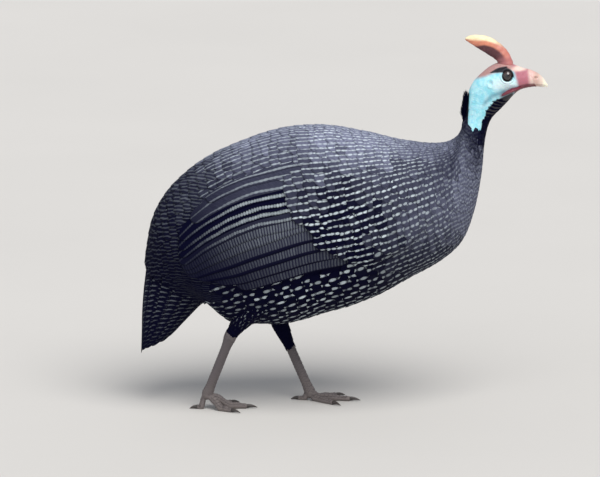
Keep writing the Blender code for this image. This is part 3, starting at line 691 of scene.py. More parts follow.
AREAS = {
    "side": Area(9.8, 84, 2, 6.2, 0.18, 0.46, 0.88, 0.0),
    "saddle": Area(8.6, 40, 2, 6.2, 0.18, 0.60, 0.52, 0.13),
    "shoulder": Area(11.8, 62, 2, 6.2, 0.20, 0.44, 0.68, 0.10),
    "upper back": Area(10.6, 14, 2, 6.0, 0.20, 0.46, 0.80, 0.50),
    "mid back": Area(8.0, 12, 2, 6.0, 0.18, 0.60, 0.52, 0.52),
    "low saddle": Area(7.3, 36, 2, 6.2, 0.18, 0.60, 0.28, 0.055),
    "hind neck": Area(13.2, 16, 2, 4.6, 0.24, 0.42, 0.28, 0.40),
    # Painted shade: the hollow between neck and shoulder gets a near-black web with faint marks, for the shade that
    # falls there.
    "neck hollow shade": Area(13.7, 41, 2, 4.6, 0.26, 0.38, 0.10, 0.0),
    "breast side": Area(13.0, 88, 2, 5.4, 0.22, 0.42, 0.40, 0.20),
    "breast": Area(14.5, 116, 1, 4.5, 9.0, 0.22, 0.20, 0.31),
    "neck foot": Area(15.1, 80, 1, 4.2, 9.0, 0.22, 0.15, 0.31),
    "low neck": Area(16.2, 80, 1, 3.6, 9.0, 0.22, 0.05, 0.035),
    "low breast": Area(12.5, 140, 2, 6.0, 0.19, 0.44, 0.44, 0.05),
    "belly": Area(10.4, 150, 1, 9.4, 0.15, 0.42, 0.62, 0.0),
    "flank": Area(8.4, 126, 1, 9.8, 0.14, 0.41, 0.85, 0.0),
    "vent": Area(5.6, 150, 1, 9.0, 0.14, 0.36, 0.40, 0.0),
    "rear back": Area(6.4, 24, 1, 6.0, 9.0, 0.24, 0.115, 0.02),
    "rump": Area(5.0, 52, 1, 6.0, 9.0, 0.18, 0.07, 0.003),
    "low rump": Area(4.0, 80, 1, 6.0, 9.0, 0.14, 0.04, 0.0),
    "tail": Area(3.0, 90, 1, 6.0, 9.0, 0.14, 0.045, 0.0),
    "collar": Area(17.4, 90, 1, 3.6, 9.0, 0.22, 0.0, 0.0),
}
AREA_STATIONS, AREA_TURNS = 1.0, 26.0


def markings(k: Array, turn: Array) -> dict[str, Array]:
    """The marks at places on the bird, blended from the areas round them.

    The tone of the web is blended from all of them, and the marks from those of one kind, barred
    or spotted.

    Args:
        k: Stations.
        turn: Turns, either side.

    Returns:
        Cells, spot and ground, each with three columns.
    """
    table = np.array([list(vars(a).values()) for a in AREAS.values()], float)
    far = ((k[:, None] - table[:, 0]) / AREA_STATIONS) ** 2
    far = far + ((np.abs(turn)[:, None] - table[:, 1]) / AREA_TURNS) ** 2
    weight = np.exp(-(far - far.min(axis=1, keepdims=True)))
    weight /= weight.sum(axis=1, keepdims=True)
    tone = weight @ table[:, 7]
    barred = table[:, 4] > 1.0
    weight = weight * (barred == (weight @ barred > 0.5)[:, None])
    weight /= weight.sum(axis=1, keepdims=True)
    rows, pitch, wide, long, strength = (weight @ table[:, 2:7]).T
    rows = np.maximum(np.round(rows), 1.0)
    shift = 0.5 * (rows % 2)
    none = np.full_like(tone, NO_EDGE)
    return {"cells": np.stack([rows, pitch, shift], -1), "spot": np.stack([wide, long, strength], -1),
            "ground": np.stack([tone, none, 0 * tone], -1)}


class Face:
    """Where the bare face and neck end and the black plumage of throat, nape and collar begins."""

    @staticmethod
    def edge(x: Array, z: Array) -> Array:
        """How far a place in side view lies in front of the blue patch's front edge."""
        front = np.interp(z, (284.0, 294.0, 301.0, 310.0, 316.0, 324.0, 332.0),
                          (140.6, 141.6, 143.4, 146.2, 149.2, 156.0, 164.4))
        return (x - front) * 0.75 + 0.5 * np.sin(z * 0.45)

    @classmethod
    def throat(cls, x: Array, z: Array) -> Array:
        """The share of the black throat."""
        throat = smooth(cls.edge(x, z), -0.8, 1.4) * (1 - smooth(z - (x - 162.0) * 0.42, 323.5, 326.5))
        return throat * (1 - smooth(x, 171.0, 177.0))

    @staticmethod
    def nape(x: Array, z: Array) -> Array:
        """The share of the black nape."""
        back = np.interp(z, (285.0, 300.0, 320.0, 330.0), (128.0, 127.6, 128.6, 129.0))
        return smooth(back - x, -1.4, 0.8) * (1 - smooth(z, 327.0, 332.0))

    @staticmethod
    def collar(x: Array, z: Array) -> Array:
        """The share of the black collar."""
        return 1 - smooth(z + (x - 135.0) * 0.25 + 0.8 * np.sin(x * 0.9), 284.5, 289.0)

    @classmethod
    def feathered(cls, k: Array, turn: Array) -> Array:
        """True where the body's own feathers grow."""
        x, _, z = np.moveaxis(LOFT.point(k, turn), -1, 0)
        return (k < 17.0) | (cls.throat(x, z) + cls.collar(x, z) > 0.75)


@dataclass
class BodyFeathers:
    """The small feathers of the trunk, from the tail's root to the neck, in brick-laid rows."""

    lane: float = 8.2
    first: float = 3.15
    last: float = 21.6
    steps_at: tuple[float, ...] = (3.0, 5.4, 7.0, 10.0, 12.0, 13.5, 15.0, 16.2, 17.4, 19.0, 22.0)
    steps: tuple[float, ...] = (9.5, 11.5, 10.5, 9.5, 8.5, 6.0, 4.4, 3.4, 2.8, 2.2, 1.6)
    length: float = 3.1
    half: float = 0.78
    root_lift: float = -2.0
    tip_lift: float = 0.2
    shingle: float = 0.22
    bar_lean_at: tuple[float, ...] = (3.0, 4.0, 5.0, 6.0, 7.0)
    bar_leans: tuple[float, ...] = (3.0, 4.5, 8.5, 12.0, 14.0)
    lines_from: float = 12.5
    line_rise: float = 16.0
    form: FeatherForm = field(default_factory=FeatherForm)

    def lane_table(self, lane: float) -> tuple[Array, Array, Array]:
        """Stations along a lane, with the length and the count of rows up to each."""
        k = np.arange(0.0, 21.0, 0.05)
        points = LOFT.point(k, LIE.turn(k, lane))
        run = np.concatenate([[0.0], np.cumsum(np.linalg.norm(np.diff(points, axis=0), axis=1))])
        step = np.interp(k, self.steps_at, self.steps)
        count = np.concatenate([[0.0], np.cumsum(np.diff(run) / ((step[1:] + step[:-1]) / 2))])
        middle = np.interp(LIE.rear, k, count)
        return k, run, count - middle

    def lanes(self) -> list[tuple[float, int]]:
        """Each lane's turn at the rear, and 0 or 1 for how its rows are staggered."""
        most = int(180 / self.lane)
        whole = [(i * self.lane, 0) for i in range(-most, most + 1)]
        halves = [((i + 0.5) * self.lane, 1) for i in range(-most - 1, most + 1)]
        return [(lane, odd) for lane, odd in whole + halves if abs(lane) <= 181.0]

    def build(self, finish: bpy.types.Material) -> list[bpy.types.Object]:
        """Lays every feather, and makes a piece for each side of the front and the rear."""
        coats = {(side, part): Coat(f"feathers_{part}_{side.word}", "plumage")
                 for side in Side for part in ("rear", "middle", "front")}
        draw = np.random.default_rng(SEED)
        for lane, odd in self.lanes():
            k, run, count = self.lane_table(lane)
            low, high = np.interp([self.first, self.last], k, count)
            rows = np.arange(math.ceil((low - odd) / 2), math.floor((high - odd) / 2) + 1) * 2 + odd
            loose = 0.08 + 0.2 * smooth(np.interp(rows, count, k), 6.6, 8.0)
            tips = np.interp(rows + loose * draw.uniform(-1.0, 1.0, len(rows)), count, k)
            turns = LIE.turn(tips, lane)
            kept = (np.abs(turns) <= 182.0) & ~WING.holds(tips, turns) & Face.feathered(tips, turns)
            kept &= (np.sign(turns) == np.sign(lane if lane else 1.0)) | (np.abs(turns) < 3.0)
            tips = tips[kept]
            if not len(tips):
                continue
            side = Side.LEFT if lane >= 0 else Side.RIGHT
            part = np.digitize(tips, (8.6, 12.2))
            for number, word in enumerate(("rear", "middle", "front")):
                self.lay(coats[side, word], lane, tips[part == number], (k, run), draw)
        return [coat.build(finish) for coat in coats.values()]

    def lay(self, coat: Coat, lane: float, tips: Array, table: tuple[Array, Array],
            draw: np.random.Generator) -> None:
        """Lays one lane's feathers into a piece.

        Args:
            coat: The piece they join.
            lane: The lane's turn at the rear.
            tips: The stations of their tips.
            table: Stations along the lane and the length up to each.
            draw: The source of their small differences.
        """
        if not len(tips):
            return
        stations, run = table
        u, v = (a.ravel() for a in self.form.grid())
        count = len(tips)
        step = np.interp(tips, self.steps_at, self.steps)
        length = self.length * step * draw.uniform(0.92, 1.1, count)
        half = self.half * draw.uniform(0.93, 1.07, count) * (1 + 0.35 * (1 - smooth(tips, 3.0, 5.5)))
        fray = self.form.fray * draw.uniform(-1.0, 1.0, (count, len(u))) * np.exp(-v / 0.12)
        along = v[None] + fray
        yaw = draw.normal(0.0, 0.05, count)[:, None]
        start = np.interp(tips, stations, run)[:, None]
        k = np.interp(start + along * length[:, None], run, stations)
        pitch = self.lane * LIE.spread(k, lane)
        across = u[None] * half[:, None] + yaw * (1 - along) + draw.normal(0.0, 0.035, count)[:, None]
        turn = LIE.turn(k, lane) + across * pitch
        rise = self.root_lift + (self.tip_lift - self.root_lift) * np.clip(1 - along, 0.0, 1.0) ** 0.8
        down = np.where(lane >= 0, 1.0, -1.0)
        size = (step / self.steps[3])[:, None]
        rise = rise + self.shingle * u[None] * down * size + draw.uniform(-0.12, 0.12, count)[:, None]
        lift = WING.lift(k, turn) + rise * np.clip(size, 0.45, 1.0)
        arch = self.form.arch * (1 - u**2)[None] * size
        thick = self.form.edge_thick + (self.form.thick - self.form.edge_thick) * (1 - np.abs(u))[None] * size
        points = np.concatenate([
            LOFT.lifted(k, turn, lift + arch), LOFT.lifted(k, turn, lift + arch - thick)], axis=1)
        seed = draw.uniform(0.0, 1.0, count)
        at = tips + draw.normal(0.0, 0.3, count), LIE.turn(tips, lane) + draw.normal(0.0, 4.0, count)
        marks = {name: value[:, None, :] for name, value in markings(*at).items()}
        marks["spot"][..., 2] *= draw.uniform(0.75, 1.1, count)[:, None]
        bars = (marks["spot"][..., 0] > 1.0)[:, 0]
        lean = np.interp(tips, self.bar_lean_at, self.bar_leans)
        lean = lean + 0.2 * smooth(tips, 3.0, 5.0) * (np.abs(LIE.turn(tips, lane)) - 40.0)
        lines = bars & (tips > self.lines_from)
        bars = bars & ~lines
        marks["cells"][bars, 0, 1] = step[bars] / 2
        marks["ground"][bars, 0, 2] = (-down * lean)[bars]
        rise = math.radians(self.line_rise)
        x, _, z = np.moveaxis(LOFT.point(k, turn), -1, 0)
        from_tip = np.where(lines[:, None], z * math.cos(rise) - x * math.sin(rise), along * length[:, None])
        vane = np.stack([u[None] * half[:, None], from_tip,
                         np.broadcast_to(seed[:, None], along.shape)], -1)
        marks["vane"] = np.concatenate([vane, vane], axis=1)
        coat.add(self.form, points, bake_place(k[:, -1], LIE.turn(k[:, -1], lane)), marks)


LANE_MM = 12.2


class Web(Enum):
    """How the showing strip of a flight or tail feather is marked, as cells, spot and ground."""

    LINED = ((1.0, 5.2, -0.27), (0.11, 0.70, 0.34), (0.10, NO_EDGE, 2.0))
    BEADED = ((1.0, 2.9, -0.27), (0.145, 0.53, 0.54), (0.0, NO_EDGE, 2.0))
    RIMMED = ((1.0, 2.9, -0.27), (0.13, 0.53, 0.36), (0.05, NO_EDGE, 2.0))
    BARRED = ((0.0, 2.9, 0.5), (9.0, 0.30, 0.18), (0.060, NO_EDGE, 1.5))
    EDGED = ((0.0, 2.9, 0.5), (9.0, 0.30, 0.10), (0.05, 0.74, 1.5))
    DARK = ((0.0, 3.1, 0.5), (9.0, 0.30, 0.08), (0.035, 0.92, 1.5))
    TAIL = ((1.0, 5.8, 0.5), (0.48, 0.165, 0.16), (0.0, NO_EDGE, 5.8))


@dataclass(frozen=True)
class Quill:
    """One flight feather: the turn of its lower edge at the covert's end, its tip and its web."""

    edge: float
    tip: float
    web: Web


@dataclass
class NapePlumes:
    """The thin black plumes that stand up along the back of the neck."""

    count: int = 420
    low: float = 17.0
    high: float = 19.7
    spread: float = 21.0
    length: float = 12.0
    half: float = 0.42
    stand: float = 4.6
    form: FeatherForm = field(default_factory=lambda: FeatherForm(
        columns=3, rows=8, tip_round=0.5, root_half=0.7, thick=0.3, edge_thick=0.2, fray=0.0, arch=0.1))

    def build(self, finish: bpy.types.Material) -> bpy.types.Object:
        """Makes the piece."""
        draw = np.random.default_rng(SEED + 4)
        coat = Coat("plumes_nape", "plumage")
        u, v = (a.ravel() for a in self.form.grid())
        for _ in range(self.count):
            root = draw.uniform(self.low, self.high)
            middle = draw.normal(0.0, 0.55) * self.spread
            length = self.length * draw.uniform(0.7, 1.25) * (1 - 0.35 * smooth(root, 18.6, 19.8))
            rise = (1 - v) * length
            stations = np.linspace(root, root + 3.2, 30)
            run = np.concatenate([[0.0], np.cumsum(np.linalg.norm(
                np.diff(LOFT.point(stations, middle), axis=0), axis=1))])
            k = np.interp(rise, run, stations)
            half = np.degrees(self.half / through(OUTLINE, k)[..., 4]) * (0.35 + 0.65 * v)
            turn = middle + draw.normal(0.0, 7.0) * (1 - v) + u * half
            stand = self.stand * draw.uniform(0.35, 1.1) * smooth(np.cos(np.radians(turn * 1.6)), 0.0, 1.0)
            lift = -0.5 + 0.7 * (1 - v) + stand * (1 - v) ** 1.7
            points = np.concatenate([LOFT.lifted(k, turn, lift), LOFT.lifted(k, turn, lift - 0.3)])[None]
            vane = np.stack([u, v * length, np.full(len(u), draw.uniform())], -1)
            coat.add(self.form, points, bake_place(np.array([root]), np.array([middle])), {
                "vane": np.concatenate([vane, vane])[None], "cells": np.array([1.0, 4.0, 0.5]),
                "spot": np.zeros(3) + np.array([0.1, 0.1, 0.0]), "ground": np.array([0.0, 9.0, 0.0])})
        return coat.build(finish)


@dataclass
class FlightFeathers:
    """The long feathers of both folded wings, laid from the back down like shingles."""

    quills: tuple[Quill, ...] = (
        Quill(46.5, 7.1, Web.LINED), Quill(52.2, 6.7, Web.LINED), Quill(59.2, 6.1, Web.LINED),
        Quill(64.0, 5.5, Web.BEADED), Quill(69.4, 5.3, Web.BEADED), Quill(73.6, 5.15, Web.BEADED),
        Quill(78.6, 5.0, Web.RIMMED), Quill(83.6, 4.98, Web.BARRED), Quill(88.8, 4.95, Web.BARRED),
        Quill(95.7, 4.95, Web.EDGED), Quill(102.3, 5.2, Web.EDGED), Quill(108.0, 5.7, Web.DARK),
        Quill(113.5, 6.3, Web.DARK))
    width: float = 17.0
    root_past: float = 1.05
    straight: float = 6.7
    gather: float = 84.0
    gather_share: float = 0.4
    shoulder: float = 2.4
    fade: tuple[float, float] = (5.4, 8.4)
    lift_at: tuple[float, ...] = (4.9, 5.9, 7.4, 8.3, 9.4, 10.2, 11.0)
    lifts: tuple[float, ...] = (2.1, 2.3, 2.3, 2.2, 1.9, 1.6, 0.8)
    rise: float = 0.75
    sunk: float = 38.0
    form: FeatherForm = field(default_factory=lambda: FeatherForm(
        columns=13, rows=34, tip_round=0.075, root_half=0.85, thick=0.5, edge_thick=0.2, fray=0.004, arch=0.2))

    def build(self, finish: bpy.types.Material) -> list[bpy.types.Object]:
        """Makes a piece of each wing, which stands for the wing's node."""
        draw = np.random.default_rng(SEED + 1)
        made = []
        for side in Side:
            coat = Coat(f"flight_feathers_{side.word}", "wing")
            for quill in self.quills:
                self.lay(coat, side, quill, float(WING.covert_end(quill.edge)) + self.root_past, draw)
            made.append(coat.build(finish))
            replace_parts(made[-1], f"wing_{side.word}")
        return made

    def lay(self, coat: Coat, side: Side, quill: Quill, root: float, draw: np.random.Generator) -> None:
        """Lays one flight feather.

        Args:
            coat: The piece it joins.
            side: Its side.
            quill: Its own sizes.
            root: The station of its root.
            draw: The source of its small differences.
        """
        u, v = (a.ravel() for a in self.form.grid())
        stations = np.arange(quill.tip, root, 0.05)
        run = np.concatenate([[0.0], np.cumsum(np.linalg.norm(
            np.diff(LOFT.point(stations, self.edge_turn(quill, stations)), axis=0), axis=1))])
        along = v + self.form.fray * draw.uniform(-1, 1, len(v)) * np.exp(-v / 0.03)
        k = np.interp(along * run[-1], run, stations)
        slim = self.width * (1 - 0.35 * (1 - smooth(k, quill.tip, quill.tip + 2.0)))
        turn = self.edge_turn(quill, k) - slim * (1 - u) / 2
        shown = smooth(turn, self.sunk, self.sunk + 12.0)
        lift = (np.interp(k, self.lift_at, self.lifts) + self.rise * u) * shown - 1.8 * (1 - shown)
        thick = self.form.edge_thick + (self.form.thick - self.form.edge_thick) * (1 - np.abs(u))
        arch = self.form.arch * (1 - u**2)
        points = np.concatenate([
            LOFT.lifted(k, side.value * turn, lift + arch),
            LOFT.lifted(k, side.value * turn, lift + arch - thick)])[None]
        vane = np.stack([u * self.width * 1.47 / 2 / LANE_MM, along * run[-1], np.full(len(u), draw.uniform())], -1)
        cells, spot, ground = (np.array(value) for value in quill.web.value)
        dull = 1 - np.tile(smooth(k, *self.fade), 2)[:, None]
        spot = spot * (1 - np.array([0.0, 0.0, 0.92]) * dull)
        ground = ground * (1 - np.array([0.85, 0.0, 0.0]) * dull)
        patch = bake_place(np.array([root]), np.array([side.value * turn[-1]]))
        coat.add(self.form, points, patch, {
            "vane": np.concatenate([vane, vane])[None], "cells": cells, "spot": spot[None],
            "ground": ground[None]})

    def edge_turn(self, quill: Quill, k: Array) -> Array:
        """The turn of a quill's lower edge at station k: they gather a little towards the tip."""
        back = np.clip((self.straight - k) / 1.6, 0.0, 1.0) ** 1.5 * (quill.edge > self.gather)
        edge = quill.edge + (self.gather - quill.edge) * self.gather_share * back
        return edge + self.shoulder * smooth(k, 7.6, 8.8) * (quill.edge < self.gather)


@dataclass
class TailFeathers:
    """The fifteen long feathers of the tail, folded down."""

    lane: float = 22.5
    tips: tuple[float, ...] = (0.0, 0.03, 0.10, 0.20, 0.35, 0.55, 0.85, 1.20)
    fade: tuple[float, float] = (-0.6, 2.2)
    root: float = 3.8
    half: float = 0.98
    lift_at: tuple[float, ...] = (0.0, 1.5, 2.6, 3.2, 3.8)
    lifts: tuple[float, ...] = (-1.5, -1.0, -1.1, -1.8, -3.6)
    rise: float = 0.6
    form: FeatherForm = field(default_factory=lambda: FeatherForm(
        columns=11, rows=24, tip_round=0.06, root_half=0.8, thick=0.45, edge_thick=0.2, fray=0.006, arch=0.2))

    def build(self, finish: bpy.types.Material) -> bpy.types.Object:
        """Makes the piece, which stands for the tail's node."""
        draw = np.random.default_rng(SEED + 2)
        coat = Coat("tail_feathers", "plumage")
        last = len(self.tips) - 1
        for number in range(-last, last + 1):
            self.lay(coat, number, draw)
        made = coat.build(finish)
        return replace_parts(made, "tail")

    def lay(self, coat: Coat, number: int, draw: np.random.Generator) -> None:
        """Lays one tail feather, counted from the middle one outwards."""
        u, v = (a.ravel() for a in self.form.grid())
        tip = self.tips[abs(number)]
        stations = np.arange(tip, self.root, 0.05)
        run = np.concatenate([[0.0], np.cumsum(np.linalg.norm(
            np.diff(LOFT.point(stations, number * self.lane), axis=0), axis=1))])
        along = v + self.form.fray * draw.uniform(-1, 1, len(v)) * np.exp(-v / 0.03)
        k = np.interp(along * run[-1], run, stations)
        turn = number * self.lane + u * self.half * self.lane
        lift = np.interp(k, self.lift_at, self.lifts) + self.rise * u * np.sign(number)
        lift = lift - self.form.arch * u**2
        thick = self.form.edge_thick + (self.form.thick - self.form.edge_thick) * (1 - np.abs(u))
        points = np.concatenate([LOFT.lifted(k, turn, lift), LOFT.lifted(k, turn, lift - thick)])[None]
        vane = np.stack([u * 0.8, along * run[-1], np.full(len(u), draw.uniform())], -1)
        cells, spot, ground = (np.array(value) for value in Web.TAIL.value)
        ground = ground * np.array([1.0, 1.0, -np.sign(number)])
        spot = spot * (1 - np.array([0.0, 0.0, 1.0]) * (1 - np.tile(smooth(k, *self.fade), 2)[:, None]))
        patch = bake_place(np.array([self.root]), np.array([number * self.lane]))
        coat.add(self.form, points, patch, {
            "vane": np.concatenate([vane, vane])[None], "cells": cells, "spot": spot[None], "ground": ground})


def tube_faces(rings: int, sides: int) -> list[Array]:
    """The faces of a closed tube, whose points are its rings and then a hub for each end.

    Args:
        rings: How many rings it has.
        sides: How many points each ring has.

    Returns:
        Its quads, and the triangles of both ends.
    """
    i = np.arange(rings * sides).reshape(rings, sides)
    after = np.roll(i, -1, axis=1)
    quads = np.stack([i[:-1], after[:-1], after[1:], i[1:]], -1).reshape(-1, 4)
    first, last = rings * sides, rings * sides + 1
    start = np.stack([after[0], i[0], np.full(sides, first)], -1)
    end = np.stack([i[-1], after[-1], np.full(sides, last)], -1)
    return [quads, np.concatenate([start, end])]


def tube_points(rings: Array) -> Array:
    """A tube's points in the order of its faces, from its rings as (ring, side, 3)."""
    return np.concatenate([rings.reshape(-1, 3), [rings[0].mean(axis=0), rings[-1].mean(axis=0)]])


PATH_STEP = 0.05


@dataclass(frozen=True)
class Limb:
    """A tube along a path, read by how far along it is and by an angle round it."""

    centres: Array
    radii: Array
    flat: bool = False

    def point(self, s: Array, angle: Array, lift: Array | float = 0.0) -> Array:
        """Points on the tube: s from 0 to 1 along it, angle in degrees from its upper side."""
        s, angle = np.broadcast_arrays(np.asarray(s, float), np.asarray(angle, float))
        path = np.asarray(self.centres, float)
        at = s * (len(path) - 1)
        held = np.clip(at, PATH_STEP, len(path) - 1 - PATH_STEP)
        way = through(path, held + PATH_STEP) - through(path, held - PATH_STEP)
        centre = through(path, held) + way * ((at - held) / (2 * PATH_STEP))[..., None]
        way /= np.linalg.norm(way, axis=-1, keepdims=True)
        across = np.broadcast_to(np.array([0.0, 1.0, 0.0]), way.shape).copy()
        if not self.flat:
            across = np.cross([0.0, 0.0, 1.0], way)
            across /= np.maximum(np.linalg.norm(across, axis=-1, keepdims=True), 1e-6)
        up = np.cross(way, across)
        up /= np.linalg.norm(up, axis=-1, keepdims=True)
        across = np.cross(up, way)
        radii = through(np.asarray(self.radii, float), at)
        turn = np.radians(angle)
        deep = (radii[..., 0] + lift) * np.cos(turn)
        wide = (radii[..., 1] + lift) * np.sin(turn)
        return centre + up * deep[..., None] + across * wide[..., None]

    def rings(self, count: int, sides: int) -> Array:
        """Evenly spaced rings."""
        s, angle = np.meshgrid(np.linspace(0, 1, count), np.arange(sides) * 360.0 / sides, indexing="ij")
        return self.point(s, angle)


def solid_tube(name: str, limb: Limb, count: int, sides: int, finish: bpy.types.Material) -> bpy.types.Object:
    """A limb as a closed mesh of its own."""
    return new_mesh(name, tube_points(limb.rings(count, sides)), tube_faces(count, sides), finish)


def settle(made: bpy.types.Object) -> bpy.types.Object:
    """Turns an object's modifiers into its mesh."""
    view = bpy.context.evaluated_depsgraph_get()
    mesh = bpy.data.meshes.new_from_object(made.evaluated_get(view))
    old = made.data
    made.modifiers.clear()
    made.data = mesh
    bpy.data.meshes.remove(old)
    return made


def unite(target: bpy.types.Object, others: list[bpy.types.Object]) -> bpy.types.Object:
    """Joins closed meshes into the first by a Boolean union."""
    for other in others:
        cut = target.modifiers.new("union", "BOOLEAN")
        cut.operation = "UNION"
        cut.solver = "MANIFOLD"
        cut.object = other
    settle(target)
    for other in others:
        bpy.data.objects.remove(other)
    return target


def blend_mesh(made: bpy.types.Object, voxel: float, rounds: int) -> bpy.types.Object:
    """Melts a mesh's parts into one smooth skin.

    Args:
        made: The object.
        voxel: The grain of the new mesh, in millimetres.
        rounds: How often it is smoothed.

    Returns:
        The same object.
    """
    remesh = made.modifiers.new("blend", "REMESH")
    remesh.mode = "VOXEL"
    remesh.voxel_size = voxel * MM
    calm = made.modifiers.new("calm", "SMOOTH")
    calm.iterations = rounds
    settle(made)
    made.data.shade_smooth()
    return made


def read_points(mesh: bpy.types.Mesh) -> Array:
    """A mesh's points, in the outline's millimetres."""
    flat = np.zeros(3 * len(mesh.vertices), np.float32)
    mesh.vertices.foreach_get("co", flat)
    return flat.reshape(-1, 3).astype(float) / MM - SHIFT


def write_points(mesh: bpy.types.Mesh, points: Array) -> None:
    """Moves a mesh's points."""
    mesh.vertices.foreach_set("co", ((points + SHIFT) * MM).astype(np.float32).ravel())
    mesh.update()


def keep_vectors(mesh: bpy.types.Mesh, **values: Array) -> None:
    """Keeps vectors of three parts for every point of a mesh."""
    for name, value in values.items():
        attribute = mesh.attributes.new(name, "FLOAT_VECTOR", "POINT")
        attribute.data.foreach_set("vector", np.ascontiguousarray(value, np.float32).ravel())


@dataclass(frozen=True)
class LegPlace:
    """One leg's joints, and how its toes lie: headings are in degrees from +X."""

    side: Side
    hip: tuple[float, float, float]
    ankle: tuple[float, float, float]
    joint: tuple[float, float, float]
    bend: float
    heading: float


@dataclass(frozen=True)
class Toe:
    """One toe: its heading away from the middle one, its length and its radii."""

    word: str
    turn: float
    length: float
    radius: float
    tip_radius: float


LEG_PLACES = (
    LegPlace(Side.RIGHT, (-92.0, -34.0, 114.0), (-115.0, -27.0, 80.0), (-140.0, -20.0, 15.0), 22.0, 2.0),
    LegPlace(Side.LEFT, (-58.0, 34.0, 118.0), (-65.5, 26.0, 81.0), (-33.0, 18.0, 7.2), 6.0, -6.0))
TOES = (Toe("middle", 0.0, 41.0, 4.3, 2.7), Toe("inner", -36.0, 31.0, 3.8, 2.5),
        Toe("outer", 34.0, 30.0, 3.8, 2.5), Toe("hind", 180.0, 13.0, 3.0, 2.0))
MOUTH_BACK, MOUTH_TIP, MOUTH_Z, MOUTH_ARCH, MOUTH_DROP = 179.5, 214.0, 336.7, 1.4, 1.6
EAR_X, EAR_Z = 150.5, 340.0


def mouth_height(x: Array) -> Array:
    """The height of the line of the mouth."""
    f = np.clip((x - MOUTH_BACK) / (MOUTH_TIP - MOUTH_BACK), 0.0, 1.0)
    return MOUTH_Z + MOUTH_ARCH * np.sin(math.pi * f) - MOUTH_DROP * f**2


def thigh_limb(place: LegPlace, top: float, foot: float) -> Limb:
    """The thigh's taper from inside the body to the ankle, with radii at its top and foot."""
    hip, ankle = np.array(place.hip), np.array(place.ankle)
    shares = np.array([-0.4, 0.0, 0.3, 0.6, 0.85, 1.0])
    taper = np.interp(shares, (0.0, 0.3, 0.6, 0.85, 1.0), (0.0, 0.35, 0.7, 0.93, 1.0))
    radii = top + (foot - top) * taper
    return Limb(hip + (ankle - hip) * shares[:, None], np.stack([radii, 0.85 * radii], -1), flat=True)


